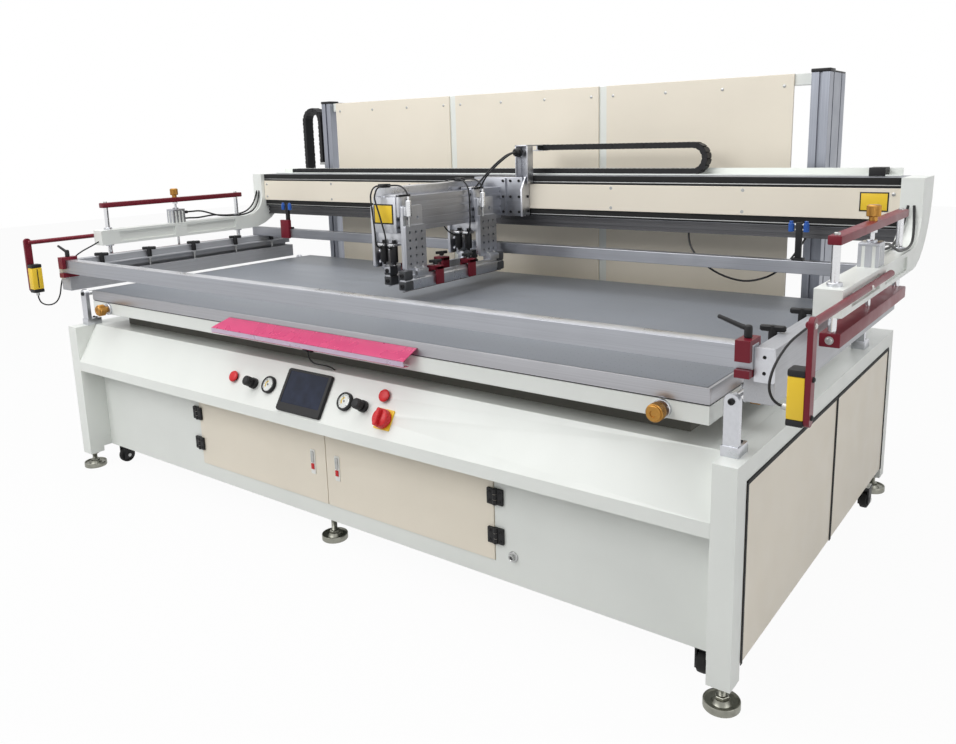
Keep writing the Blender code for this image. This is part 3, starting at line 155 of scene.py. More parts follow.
def moulded(name, colour, roughness, grain=900.0, blotch=0.18, specular=0.3):
    """Moulded plastic or rubber with a fine texture and dusty patches."""
    made, tree, shader, place = new_material(name, roughness, 0.0, specular)
    dust = noise(tree, place, scale=26.0, detail=5.0)
    coloured(tree, shader, dust, colour, (0.30, 1.0 - blotch), (0.55, 1.0), (0.80, 1.0 + blotch * 1.6))
    roughened(tree, shader, dust, low=roughness - 0.05, high=roughness + 0.10)
    bumped(tree, shader, noise(tree, place, grain, detail=2.0), strength=0.12, distance=0.0003)
    return made


def clear(name, colour, roughness, through, ior=1.47):
    """Clear plastic or glass with faint wipe marks."""
    made, tree, shader, place = new_material(name, roughness)
    shader.inputs["Transmission Weight"].default_value = through
    shader.inputs["IOR"].default_value = ior
    haze = noise(tree, place, scale=14.0, detail=4.0)
    coloured(tree, shader, haze, colour, (0.3, 0.94), (0.7, 1.0))
    roughened(tree, shader, haze, low=roughness, high=roughness + 0.10)
    return made


def table_skin(name, colour, pitch=0.025, hole=0.0010, thick=10.0):
    """Grey coated vacuum bed with rubbed tracks and a grid of pin holes, painted as dark dots of shade."""
    made, tree, shader, place = new_material(name, roughness=0.46, specular=0.32)
    rubbed = noise(tree, stretched(tree, place, (1.2, 7.0, 1.0)), scale=1.6, detail=6.0)
    grey = tones(tree, rubbed, colour, ((0.30, 0.93), (0.52, 1.0), (0.78, 1.07)))
    corner = Vector((pitch / 2.0, pitch / 2.0, thick))
    cells = add_node(tree, "ShaderNodeVectorMath", {1: corner, 2: -corner}, {0: place}, "WRAP")
    level = {1: (1.0, 1.0, 0.0)}
    flat = add_node(tree, "ShaderNodeVectorMath", level, {0: cells.outputs["Vector"]}, "MULTIPLY")
    distance = add_node(tree, "ShaderNodeVectorMath", {}, {0: flat.outputs["Vector"]}, "LENGTH")
    inside = add_node(tree, "ShaderNodeMath", {1: hole}, {0: distance.outputs["Value"]}, "LESS_THAN")
    # Inputs 0, 6 and 7 of the mix are its factor and its two colours.
    # The holes are not cut: this dark colour paints the shade inside them.
    dark = (*shade(colour, 0.25), 1.0)
    mix = add_node(tree, "ShaderNodeMix", {7: dark}, {0: inside.outputs["Value"], 6: grey})
    mix.data_type = "RGBA"
    tree.links.new(mix.outputs[2], shader.inputs["Base Color"])
    roughened(tree, shader, rubbed, low=0.42, high=0.54)
    bumped(tree, shader, noise(tree, place, scale=600.0, detail=2.0), strength=0.08, distance=0.0003)
    return made


def even(scale):
    return scale, scale, scale


DRAWN_X, DRAWN_Y, DRAWN_Z = (3.0, 420.0, 420.0), (420.0, 3.0, 420.0), (420.0, 420.0, 3.0)
WHITE = painted("white_enamel", (0.81, 0.835, 0.80), 0.36)
# Dark grey for the plinth: painted shade cast by the table above it.
SHADOW_GREY = painted("plinth_painted_shade", (0.150, 0.145, 0.125), 0.50)
BEIGE = painted("beige_enamel", (0.84, 0.775, 0.655), 0.42, peel=0.16)
MAROON = painted("maroon_enamel", (0.165, 0.010, 0.022), 0.36, specular=0.28)
ALU_X = brushed("aluminium_drawn_across", (0.36, 0.37, 0.40), 0.36, DRAWN_X)
ALU_Y = brushed("aluminium_drawn_back", (0.42, 0.43, 0.465), 0.36, DRAWN_Y)
ALU_RAIL = brushed("aluminium_rail", (0.42, 0.43, 0.455), 0.42, DRAWN_Y, metallic=0.3)
ALU_Z = brushed("aluminium_drawn_up", (0.44, 0.45, 0.48), 0.36, DRAWN_Z)
ALU_COLUMN = brushed("aluminium_column", (0.29, 0.305, 0.345), 0.40, DRAWN_Z, 0.14)
# Darkened aluminium for the beam stiffener: painted shade under the beam cover.
ALU_PAINTED_SHADE = brushed("aluminium_painted_shade", (0.115, 0.115, 0.12), 0.42, DRAWN_X, 0.12)
ALU_BRIGHT = brushed("aluminium_machined", (0.56, 0.57, 0.60), 0.30, even(90.0), 0.06)
EDGE_ALU = brushed("anodised_table_edge", (0.39, 0.39, 0.41), 0.40, (2.0, 2.0, 520.0), 0.10)
FOOT_STEEL = brushed("tarnished_steel", (0.26, 0.26, 0.225), 0.38, even(60.0), 0.20)
CHROME = brushed("chromed_steel", (0.74, 0.745, 0.76), 0.12, even(300.0), 0.03)
ZINC = brushed("zinc_plated_steel", (0.42, 0.425, 0.42), 0.40, even(60.0), 0.15)
BRASS = brushed("turned_brass", (0.40, 0.205, 0.050), 0.34, even(200.0), 0.12)
BLACK = moulded("black_plastic", (0.010, 0.010, 0.011), 0.45)
RUBBER = moulded("black_rubber", (0.009, 0.009, 0.009), 0.70, 500.0)
HOSE = moulded("black_hose", (0.010, 0.010, 0.011), 0.38, 300.0)
DARK_GREY = moulded("dark_grey_casting", (0.050, 0.052, 0.056), 0.46, 700.0)
RED = moulded("red_plastic", (0.62, 0.022, 0.028), 0.28, 900.0, 0.08)
YELLOW = painted("yellow_enamel", (0.86, 0.58, 0.03), 0.38)
BLUE = moulded("blue_plastic", (0.03, 0.11, 0.42), 0.30, 900.0, 0.10)
DIAL = painted("dial_white", (0.86, 0.86, 0.83), 0.45, 0.02, 0.02)
SCREEN = moulded("screen_glass", (0.012, 0.018, 0.040), 0.10, 60.0, 0.30)
GLASS = clear("gauge_glass", (0.97, 0.98, 0.98), 0.02, 1.0)
PINK = clear("pink_acrylic", (0.86, 0.10, 0.27), 0.22, 0.25)
LILAC = clear("pale_fold", (0.72, 0.58, 0.74), 0.25, 0.20)
TABLE_GREY = table_skin("vacuum_bed_grey", (0.205, 0.220, 0.245))
BLADE = moulded("squeegee_rubber", (0.060, 0.036, 0.022), 0.50, 300.0)


# Shapes.

SHARP_ANGLE, RIM_ANGLE = math.radians(34.0), 0.9
BOX_PROFILE, BEVEL_SHARE = 0.6, 0.45
SCREW_SUNK = 0.0005


def frame_at(origin, z_axis, x_axis=None):
    """Matrix that puts local Z along z_axis at origin."""
    z_axis = Vector(z_axis).normalized()
    if x_axis is None:
        x_axis = ACROSS if abs(z_axis.x) < 0.9 else BACKWARD
    x_axis = Vector(x_axis)
    x_axis = (x_axis - z_axis * x_axis.dot(z_axis)).normalized()
    y_axis = z_axis.cross(x_axis)
    turn = Matrix((x_axis, y_axis, z_axis)).transposed().to_4x4()
    return Matrix.Translation(Vector(origin)) @ turn


def seat(x, back, z, axis=UP):
    """Matrix at a place on the press, with local Z along the axis."""
    return frame_at(at(x, back, z), axis)


def turned(place, degrees):
    return place @ Matrix.Rotation(math.radians(degrees), 4, "Z")


def circle(radius, count, middle=(0.0, 0.0)):
    turns = [2.0 * math.pi * i / count for i in range(count)]
    return [(middle[0] + radius * math.cos(turn), middle[1] + radius * math.sin(turn)) for turn in turns]


def circles(radius, count, across, up):
    """Holes of one radius at every pair of the two lists of places."""
    return [circle(radius, count, (x, y)) for x in across for y in up]


def toothed(outer, inner, count):
    """Outline that goes in and out between two radii."""
    rims = circle(inner, count), circle(outer, count)
    return [rims[i % 2][i] for i in range(count)]


def rounded(width, height, radius, steps=5):
    """Outline of a rectangle with round corners, about its middle."""
    outline = []
    for sx, sy, start in ((1, 1, 0.0), (-1, 1, 0.5), (-1, -1, 1.0), (1, -1, 1.5)):
        for step in range(steps + 1):
            angle = math.pi * (start + 0.5 * step / steps)
            x = sx * (width / 2.0 - radius) + radius * math.cos(angle)
            outline.append((x, sy * (height / 2.0 - radius) + radius * math.sin(angle)))
    return outline


def smooth_path(points, steps):
    """Points of a smooth line through the given points."""
    ends = [2 * points[0] - points[1]] + points + [2 * points[-1] - points[-2]]
    line = []
    for a, b, c, d in zip(ends, ends[1:], ends[2:], ends[3:]):
        bend, twist = 2 * a - 5 * b + 4 * c - d, 3 * b - a - 3 * c + d
        for step in range(steps):
            t = step / steps
            line.append(0.5 * (2 * b + (c - a) * t + bend * t ** 2 + twist * t ** 3))
    return line + [points[-1]]


class Shape:
    """Solid forms gathered into one piece."""

    def __init__(self):
        self.bm = bmesh.new()

    def box(self, low, high, bevel=0.001, place=None, segments=2):
        low, high = Vector(low), Vector(high)
        size = high - low
        matrix = Matrix.Translation((low + high) / 2.0) @ Matrix.Diagonal((*size, 1.0))
        if place is not None:
            matrix = place @ matrix
        made = bmesh.ops.create_cube(self.bm, size=1.0, matrix=matrix)
        edges = list({edge for vert in made["verts"] for edge in vert.link_edges})
        offset = min(bevel, BEVEL_SHARE * min(abs(part) for part in size))
        bmesh.ops.bevel(
            self.bm, geom=edges, offset=offset, segments=segments, profile=BOX_PROFILE, affect="EDGES",
            clamp_overlap=True,
        )
        return self

    def slab(self, x, back, z, bevel=0.001):
        """Box between two x values, two backs and two heights."""
        return self.box(at(min(x), min(back), min(z)), at(max(x), max(back), max(z)), bevel)

    def slabs(self, bevel, *limits):
        for x, back, z in limits:
            self.slab(x, back, z, bevel)
        return self

    def lathe(self, place, profile, count=28):
        """Turned form; the profile lists radius and height."""
        rings = []
        for radius, height in profile:
            rim = circle(radius, count) if radius else [(0.0, 0.0)]
            rings.append([self.bm.verts.new(place @ Vector((x, y, height))) for x, y in rim])
        for low, high in zip(rings, rings[1:]):
            self.join(low, high, count)
        return self

    def join(self, low, high, count):
        """Faces between two rings, either of which may be one point."""
        for i in range(count):
            j = (i + 1) % count
            corners = (low[i % len(low)], low[j % len(low)], high[j % len(high)], high[i % len(high)])
            face = list(dict.fromkeys(corners))
            if len(face) > 2:
                self.bm.faces.new(face)

    def disc(self, place, radius, low, high, count=28):
        return self.lathe(place, ((0.0, low), (radius, low), (radius, high), (0.0, high)), count)

    def rod(self, start, end, radius, chamfer=0.0008, count=24):
        length = (end - start).length
        chamfer = min(chamfer, radius * 0.4, length * 0.4)
        neck = radius - chamfer
        foot = ((0.0, 0.0), (neck, 0.0), (radius, chamfer))
        head = ((radius, length - chamfer), (neck, length), (0.0, length))
        return self.lathe(frame_at(start, end - start), foot + head, count)

    def prism(self, outline, place, low, high, bevel=0.0006, holes=()):
        """Plate with the given outline and holes, extruded along local Z."""
        part = bmesh.new()
        edges = []
        for loop in (outline, *holes):
            verts = [part.verts.new((x, y, low)) for x, y in loop]
            edges += [part.edges.new((verts[i - 1], verts[i])) for i in range(len(verts))]
        if holes:
            filled = bmesh.ops.triangle_fill(part, edges=edges, use_beauty=True)["geom"]
            faces = [item for item in filled if isinstance(item, bmesh.types.BMFace)]
        else:
            faces = [part.faces.new(part.verts[:])]
        grown = bmesh.ops.extrude_face_region(part, geom=faces)["geom"]
        moved = [item for item in grown if isinstance(item, bmesh.types.BMVert)]
        bmesh.ops.translate(part, verts=moved, vec=(0.0, 0.0, high - low))
        bmesh.ops.recalc_face_normals(part, faces=part.faces[:])
        if bevel:
            folds = [edge for edge in part.edges if len(edge.link_faces) == 2]
            folds = [edge for edge in folds if edge.calc_face_angle(0.0) > RIM_ANGLE]
            rims = [edge for edge in folds if abs(edge.verts[0].co.z - edge.verts[1].co.z) < 1e-6]
            bmesh.ops.bevel(part, geom=rims, offset=bevel, segments=1, affect="EDGES", clamp_overlap=True)
        part.transform(place)
        mesh = bpy.data.meshes.new("part")
        part.to_mesh(mesh)
        part.free()
        self.bm.from_mesh(mesh)
        bpy.data.meshes.remove(mesh)
        return self

    def tube(self, points, radius, count):
        """Round line along the points with closed ends."""
        rings = []
        side = None
        for i, point in enumerate(points):
            along = (points[min(i + 1, len(points) - 1)] - points[max(i - 1, 0)]).normalized()
            if side is None:
                side = along.orthogonal().normalized()
            side = (side - along * side.dot(along)).normalized()
            other = along.cross(side)
            rings.append([self.bm.verts.new(point + side * x + other * y) for x, y in circle(radius, count)])
        for low, high in zip(rings, rings[1:]):
            self.join(low, high, count)
        self.bm.faces.new(rings[0][::-1])
        self.bm.faces.new(rings[-1])
        return self

    def socket_screw(self, centre, axis, radius=0.005, height=0.004):
        head = ((radius, -SCREW_SUNK), (radius, height * 0.8), (radius * 0.85, height))
        socket = ((radius * 0.55, height), (radius * 0.5, height * 0.45), (0.0, height * 0.4))
        return self.lathe(frame_at(centre, axis), head + socket, 14)

    def pan_screw(self, centre, axis, radius=0.006, height=0.0025):
        """Low round head with a cross recess."""
        place = frame_at(centre, axis)
        rim = ((radius, -SCREW_SUNK), (radius, height * 0.3), (radius * 0.85, height * 0.75))
        self.lathe(place, rim + ((radius * 0.5, height), (0.0, height)), 16)
        long, narrow = radius * 0.55, radius * 0.10
        for turn in (0.25, 0.75):
            bar = place @ Matrix.Rotation(math.pi * turn, 4, "Z")
            self.box((-long, -narrow, height * 0.85), (long, narrow, height * 1.1), radius * 0.03, bar, 1)
        return self

    def hex_nut(self, centre, axis, radius, height):
        return self.prism(circle(radius, 6), frame_at(centre, axis), 0.0, height, radius * 0.08)

    def make(self, name, material, body, replaces=()):
        bmesh.ops.recalc_face_normals(self.bm, faces=self.bm.faces[:])
        mesh = bpy.data.meshes.new(name)
        self.bm.to_mesh(mesh)
        self.bm.free()
        mesh.shade_smooth()
        mesh.set_sharp_from_angle(angle=SHARP_ANGLE)
        mesh.materials.append(material)
        made = bpy.data.objects.new(name, mesh)
        bpy.context.scene.collection.objects.link(made)
        if body is not None:
            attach(made, body)
        if replaces:
            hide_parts(*replaces)
        return made


CORD_SPANS = 39


def hanging_cord(name, route, diameter, body, sign=1.0, front=0.0):
    """Free cable or hose between two places on the press."""
    points = [at(sign * x, front + back, z) for x, back, z in route]
    line = smooth_path(points, CORD_SPANS // (len(points) - 1))
    data = bpy.data.curves.new(name, "CURVE")
    data.dimensions = "3D"
    data.bevel_depth = diameter / 2.0
    data.bevel_resolution = 3
    data.use_fill_caps = True
    spline = data.splines.new("POLY")
    spline.points.add(len(line) - 1)
    for point, spot in zip(spline.points, line):
        point.co = (*spot, 1.0)
    data.materials.append(HOSE)
    made = bpy.data.objects.new(name, data)
    bpy.context.scene.collection.objects.link(made)
    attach(made, body)


WELD_REACH, FLAT_ANGLE, EDGE_ANGLE = 0.00002, math.radians(0.6), math.radians(38.0)


def dress(node, material, bevel):
    """Rounds the edges of a frame node and gives it its finish."""
    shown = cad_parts[node]
    shown.data.materials.clear()
    shown.data.materials.append(material)
    weld = shown.modifiers.new("weld", "WELD")
    weld.merge_threshold = WELD_REACH
    flat = shown.modifiers.new("flat", "DECIMATE")
    flat.decimate_type = "DISSOLVE"
    flat.angle_limit = FLAT_ANGLE
    edge = shown.modifiers.new("edge", "BEVEL")
    edge.width = bevel
    edge.segments = 2
    edge.limit_method = "ANGLE"
    edge.angle_limit = EDGE_ANGLE
    edge.harden_normals = False


# Finishes of the frame nodes that show as they are.

for node, material, bevel in (
    ("base_frame", WHITE, 0.0020), ("top_cover", WHITE, 0.0012), ("front_panel", WHITE, 0.0010),
    ("cabinet_door_left", BEIGE, 0.0012), ("cabinet_door_right", BEIGE, 0.0012),
    ("rear_frame", WHITE, 0.0015), ("table_frame", WHITE, 0.0025),
    ("beam_cover", BEIGE, 0.0015),
    ("arm_left", WHITE, 0.0025), ("arm_right", WHITE, 0.0025),
    ("column_left", ALU_COLUMN, 0.0008), ("column_right", ALU_COLUMN, 0.0008),
    ("screen_rail_left", ALU_RAIL, 0.0010), ("screen_rail_right", ALU_RAIL, 0.0010),
    ("screen_front_bar", ALU_X, 0.0012), ("screen_rear_bar", ALU_X, 0.0012),
    ("clamp_left", MAROON, 0.0015), ("clamp_right", MAROON, 0.0015),
):
    dress(node, material, bevel)
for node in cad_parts:
    if node.startswith("side_panel"):
        dress(node, BEIGE, 0.0030)
    if node.startswith("back_panel"):
        dress(node, BEIGE, 0.0012)

# The plinth under the table frame gets a dark grey: painted shade under the table.
PLINTH_TOP = 0.6865
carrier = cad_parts["table_frame"].data
carrier.materials.append(SHADOW_GREY)
for face in carrier.polygons:
    if max(carrier.vertices[index].co.z for index in face.vertices) <= PLINTH_TOP:
        face.material_index = 1

# Base and doors.

PANEL_LOW, PANEL_HIGH, RAIL_LOW = 0.104, 0.566, 0.574
EDGING_INNER, EDGING_BACKS, EDGING_FACE = 1.4262, (1.4448, 1.4453), 1.4474
EDGING_TOP, EDGING_WIDE, EDGING_ROUND = 0.573, 0.011, 0.014
EDGED_PANELS = {"left": ((0.0615, 1.5285),), "right": ((0.0615, 0.8388), (0.8332, 1.5285))}
EDGING_ENDS, RETURN_FACES = (0.0604, 1.5296), (1.3826, 1.3846)


def edging_outline(front, rear, low, high, wide, radius, steps=6):
    """Outline of an edging that runs up, along the top and down a panel."""
    outer, inner = [(front, low)], [(front + wide, low)]
    for middle, start in ((front + radius, 1.0), (rear - radius, 0.5)):
        for step in range(steps + 1):
            angle = math.pi * (start - 0.5 * step / steps)
            for line, reach in ((outer, radius), (inner, radius - wide)):
                line.append((middle + reach * math.cos(angle), high - radius + reach * math.sin(angle)))
    return outer + [(rear, low), (rear - wide, low)] + inner[::-1]


for side, sign in SIDES:
    seal = Shape()
    low, high = sorted((sign * EDGING_BACKS[1], sign * EDGING_FACE))
    for front, rear in EDGED_PANELS[side]:
        outline = edging_outline(front, rear, PANEL_LOW, EDGING_TOP, EDGING_WIDE, EDGING_ROUND)
        seal.prism(outline, seat(0.0, 0.0, 0.0, ACROSS), low, high)
    across = sign * EDGING_INNER, sign * EDGING_BACKS[0]
    seal.slab(across, EDGING_ENDS, (PANEL_HIGH + 0.0002, RAIL_LOW - 0.0002), 0.002)
    seal.make(f"panel_seal_{side}", RUBBER, "base")

# Returns that close the front panel against the legs.
returns = Shape()
for side, sign in SIDES:
    returns.slab([sign * face for face in RETURN_FACES], (0.004, 0.0948), (0.1266, 0.438), 0.0006)
returns.make("front_panel_returns", WHITE, "base")

# Black two-leaf hinges and push latches of the two cabinet doors.
HINGE_X, HINGE_BACK, HINGE_HALF, KNUCKLE = 0.7085, 0.0877, 0.0245, 0.008
HINGE_HEIGHTS, HINGE_SCREW_LIFTS, HINGE_SCREW = (0.226, 0.347), (-0.014, 0.014), (0.0048, 0.0025)
LEAF, LEAF_BACKS, LEAF_SCREW = (0.682, 0.7025), (0.0828, 0.0918), (0.691, 0.083)
FIXED, FIXED_BACKS, FIXED_SCREW = (0.7145, 0.735), (0.0862, 0.0952), (0.726, 0.0864)
LEAF_KNUCKLE, FIXED_KNUCKLE = 0.0082, 0.0088
for side, sign in SIDES:
    leaf, fixed = Shape(), Shape()
    for z in HINGE_HEIGHTS:
        leaf.slab([sign * x for x in LEAF], LEAF_BACKS, around(z, HINGE_HALF), 0.002)
        fixed.slab([sign * x for x in FIXED], FIXED_BACKS, around(z, HINGE_HALF), 0.002)
        for half, low, high in (
            (leaf, -LEAF_KNUCKLE, LEAF_KNUCKLE),
            (fixed, -HINGE_HALF, -FIXED_KNUCKLE),
            (fixed, FIXED_KNUCKLE, HINGE_HALF),
        ):
            ends = [at(sign * HINGE_X, HINGE_BACK, z + end) for end in (low, high)]
            half.rod(*ends, KNUCKLE)
        for half, (x, back) in ((leaf, LEAF_SCREW), (fixed, FIXED_SCREW)):
            for lift in HINGE_SCREW_LIFTS:
                half.socket_screw(at(sign * x, back, z + lift), FORWARD, *HINGE_SCREW)
    leaf.make(f"door_hinge_leaf_{side}", BLACK, f"cabinet_door_{side}")
    fixed.make(f"panel_hinge_leaf_{side}", BLACK, "base")

LATCH_Z, LATCH_WIDE, LATCH_HIGH, LATCH_BACK = 0.287, 0.022, 0.088, 0.0888
for side, x in (("left", -0.063), ("right", 0.055)):
    body = f"cabinet_door_{side}"
    outline = rounded(LATCH_WIDE, LATCH_HIGH, 0.004)
    plate = Shape().prism(outline, seat(x, 0.0916, LATCH_Z, FORWARD), 0.0, 0.0032)
    plate.make(f"latch_plate_{side}", DIAL, body)
    for name, material, face, low, high in (
        ("pull", ZINC, 0.0852, -0.002, 0.038),
        ("button", RED, 0.0848, -0.026, -0.006),
    ):
        press = Shape().slab(around(x, 0.0065), (face, LATCH_BACK), (LATCH_Z + low, LATCH_Z + high), 0.0012)
        press.make(f"latch_{name}_{side}", material, body)

INLET_PROFILE = (
    (0.016, 0.0), (0.016, 0.003), (0.0145, 0.005), (0.0105, 0.006), (0.0095, 0.014), (0.0075, 0.015),
    (0.0055, 0.013), (0.005, 0.004), (0.0, 0.004),
)
Shape().lathe(seat(0.765, 0.0952, 0.173, FORWARD), INLET_PROFILE).make("air_inlet", ZINC, "base")

# Feet and castors.

FOOT_PROFILE = (
    (0.0, 0.0), (0.0435, 0.0), (0.045, 0.002), (0.045, 0.0185), (0.044, 0.02), (0.0415, 0.02),
    (0.0395, 0.015), (0.025, 0.013), (0.021, 0.018), (0.0185, 0.024), (0.0, 0.024),
)
STEM, THREAD, THREAD_STEP, STEM_LOW = 0.0099, 0.0088, 0.00125, 0.024
FOOT_NUT, FOOT_NUT_HIGH, LOCK_NUT_HIGH, LOCK_NUT_DROP = 0.018, 0.0085, 0.0095, 0.0105
FOOT_X, FOOT_BACKS, FOOT_TOP = 1.415, (0.030, 1.560), 0.064
MIDDLE_FOOT_X, MIDDLE_FOOT_BACKS, MIDDLE_FOOT_TOP = -0.020, (0.128, 1.560), 0.086


def levelling_foot(shape, x, back, top):
    turns = int((top - STEM_LOW) / THREAD_STEP)
    thread = [(STEM if i % 2 else THREAD, STEM_LOW + THREAD_STEP * i) for i in range(turns)]
    shape.lathe(seat(x, back, 0.0), FOOT_PROFILE, 40)
    shape.lathe(seat(x, back, 0.0), [(0.0, STEM_LOW - 0.0005)] + thread + [(0.0, thread[-1][1])], 18)
    shape.hex_nut(at(x, back, STEM_LOW), UP, FOOT_NUT, FOOT_NUT_HIGH)
    shape.hex_nut(at(x, back, top - LOCK_NUT_DROP), UP, FOOT_NUT, LOCK_NUT_HIGH)


feet, middle_feet = Shape(), Shape()
for x in (-FOOT_X, FOOT_X):
    for back in FOOT_BACKS:
        levelling_foot(feet, x, back, FOOT_TOP)
feet.make("levelling_feet", FOOT_STEEL, "base", [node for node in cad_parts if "foot" in node])
for back in MIDDLE_FOOT_BACKS:
    levelling_foot(middle_feet, MIDDLE_FOOT_X, back, MIDDLE_FOOT_TOP)
middle_feet.make("middle_feet", FOOT_STEEL, "base")

WHEEL_Z, WHEEL_HALF, SPOKES = 0.036, 0.012, 6
WHEELS = {
    "castor_wheel_front_left": (-1.330, 0.130), "castor_wheel_front_right": (1.330, 0.130),
    "castor_wheel_rear_left": (-1.429, 1.375), "castor_wheel_rear_right": (1.429, 1.375),
}
# Half of the tyre's profile, from the axle's end to the tread.
TYRE_HALF = (
    (0.0, 0.0045), (0.0075, 0.0045), (0.0075, 0.0005), (0.01, 0.0005), (0.012, 0.003),
    (0.021, 0.003), (0.0235, 0.0), (0.0285, 0.0), (0.0312, 0.002), (0.032, 0.006),
)
TYRE = TYRE_HALF + tuple((radius, 2.0 * WHEEL_HALF - height) for radius, height in TYRE_HALF[::-1])
FORK_PLATE, FORK_HALF, FORK_Z = (0.0128, 0.0186), 0.0213, (0.0202, 0.0866)
CROWN_HALF, CROWN_BACK, CROWN_Z = 0.019, 0.0235, (0.0772, 0.0866)
SWIVEL = ((0.0, 0.0), (0.015, 0.0), (0.018, 0.003), (0.018, 0.0085), (0.0, 0.0085))
forks, bolts = Shape(), Shape()
for node, (x, back) in WHEELS.items():
    centre = seat(x - WHEEL_HALF, back, WHEEL_Z, ACROSS)
    tyre = Shape().lathe(centre, TYRE, 40)
    for spoke in range(SPOKES):
        turn = centre @ Matrix.Rotation(math.pi * spoke / 3.0, 4, "Z")
        tyre.box((0.0105, -0.0012, 0.0018), (0.022, 0.0012, 0.0222), 0.0004, turn, 1)
    tyre.make(node + "_tyre", RUBBER, node, [node])
    for side, sign in SIDES:
        forks.slab([x + sign * face for face in FORK_PLATE], around(back, FORK_HALF), FORK_Z, 0.0018)
        bolts.hex_nut(at(x + sign * 0.0184, back, WHEEL_Z), sign * ACROSS, 0.008, 0.0045)
    forks.slab(around(x, CROWN_HALF), around(back, CROWN_BACK), CROWN_Z, 0.0015)
    forks.lathe(seat(x, back, 0.069), SWIVEL, 24)
forks.make("castor_forks", BLACK, "base")
bolts.make("castor_axle_nuts", ZINC, "base")

# Controls.

SLOPE_FOOT = 0.478
SLOPE_UP = Vector((0.0, 0.52050, 0.85386))
SLOPE_OUT = Vector((0.0, -0.85386, 0.52050))


def on_slope(x, up, lift=0.0):
    """Matrix on the sloped fascia: X across, Y up the slope, Z out of it."""
    return frame_at(at(x, 0.0, SLOPE_FOOT) + SLOPE_UP * up + SLOPE_OUT * lift, SLOPE_OUT)


def raised(outline, lift):
    return [(x, y + lift) for x, y in outline]


SCREEN_PLACE, SCREEN_LIFT = on_slope(-0.022, 0.082), 0.0095
bezel = Shape().prism(rounded(0.210, 0.147, 0.009), SCREEN_PLACE, 0.0004, 0.0085, 0.0012)
window = raised(rounded(0.182, 0.110, 0.002), SCREEN_LIFT)
bezel.prism(rounded(0.206, 0.143, 0.008), SCREEN_PLACE, 0.008, 0.0116, 0.0014, [window])
bezel.make("touch_screen_bezel", BLACK, "base", ["touch_screen"])
pane = raised(rounded(0.1825, 0.1105, 0.002), SCREEN_LIFT)
Shape().prism(pane, SCREEN_PLACE, 0.007, 0.0104, 0.0002).make("touch_screen_glass", SCREEN, "base")

GAUGES, GAUGE_LIFT, GAUGE_RADIUS = ((-0.202, 0.083), (0.165, 0.085)), 0.0003, 0.030
GAUGE_RIM = (
    (0.0, 0.0), (GAUGE_RADIUS, 0.0), (GAUGE_RADIUS, 0.01), (GAUGE_RADIUS - 0.0012, 0.0122),
    (GAUGE_RADIUS - 0.0062, 0.0122), (GAUGE_RADIUS - 0.0066, 0.0085), (0.0, 0.008),
)
GAUGE_DIAL = ((0.0, 0.0081), (0.0232, 0.0086), (0.0232, 0.0092), (0.0, 0.0092))
GAUGE_HUB = ((0.0, 0.009), (0.0028, 0.0092), (0.0028, 0.0108), (0.0, 0.011))
GAUGE_LENS = ((0.0, 0.0116), (0.0235, 0.0116), (0.0235, 0.012), (0.018, 0.0124), (0.0, 0.0126))
TICKS, TICK_START, TICK_STEP, TICK_OUTER, LONG_TICK, SHORT_TICK = (
    31, 225.0, 9.0, 0.0215, (0.0165, 0.0005), (0.019, 0.0003)
)
BAND_STEPS, BAND_START, NEEDLE_TURN = 14, 222.0, 120.0
rims, dials, marks, bands, needles, lenses = (Shape() for _ in range(6))
for x, up in GAUGES:
    place = on_slope(x, up, GAUGE_LIFT)
    rims.lathe(place, GAUGE_RIM, 40)
    dials.lathe(place, GAUGE_DIAL, 40)
    for tick in range(TICKS):
        inner, half = SHORT_TICK if tick % 5 else LONG_TICK
        turn = turned(place, TICK_START - TICK_STEP * tick)
        marks.box((inner, -half, 0.009), (TICK_OUTER, half, 0.0095), 0.00008, turn, 1)
    for step in range(BAND_STEPS):
        turn = turned(place, BAND_START - TICK_STEP * step)
        bands.box((0.0085, -0.0016, 0.0088), (0.0145, 0.0016, 0.00935), 0.0001, turn, 1)
    needle_place = turned(place, NEEDLE_TURN)
    needles.box((-0.006, -0.0006, 0.0098), (0.019, 0.0006, 0.0103), 0.0001, needle_place, 1)
    needles.lathe(place, GAUGE_HUB, 16)
    lenses.lathe(place, GAUGE_LENS, 40)
for shape, name, material in (
    (rims, "gauge_rims", BLACK), (dials, "gauge_dials", DIAL), (marks, "gauge_marks", BLACK),
    (bands, "gauge_bands", YELLOW), (needles, "gauge_needles", BLACK), (lenses, "gauge_glasses", GLASS),
):
    shape.make(name, material, "base")

BUTTONS = {"stop_button": (-0.390, 0.084), "start_button": (0.318, 0.129)}
BUTTON_CAP = (
    (0.0, 0.0052), (0.012, 0.0052), (0.018, 0.0058), (0.0198, 0.0075), (0.02, 0.0105),
    (0.0184, 0.0132), (0.014, 0.0151), (0.0075, 0.0158), (0.0, 0.016),
)
COLLAR = ((0.0, 0.0), (0.0155, 0.0), (0.0155, 0.0006), (0.0, 0.0008))
collars = Shape()
for node, (x, up) in BUTTONS.items():
    Shape().lathe(on_slope(x, up), BUTTON_CAP, 40).make(node + "_cap", RED, node, [node])
    collars.lathe(on_slope(x, up), COLLAR, 32)
collars.make("button_collars", BLACK, "base")

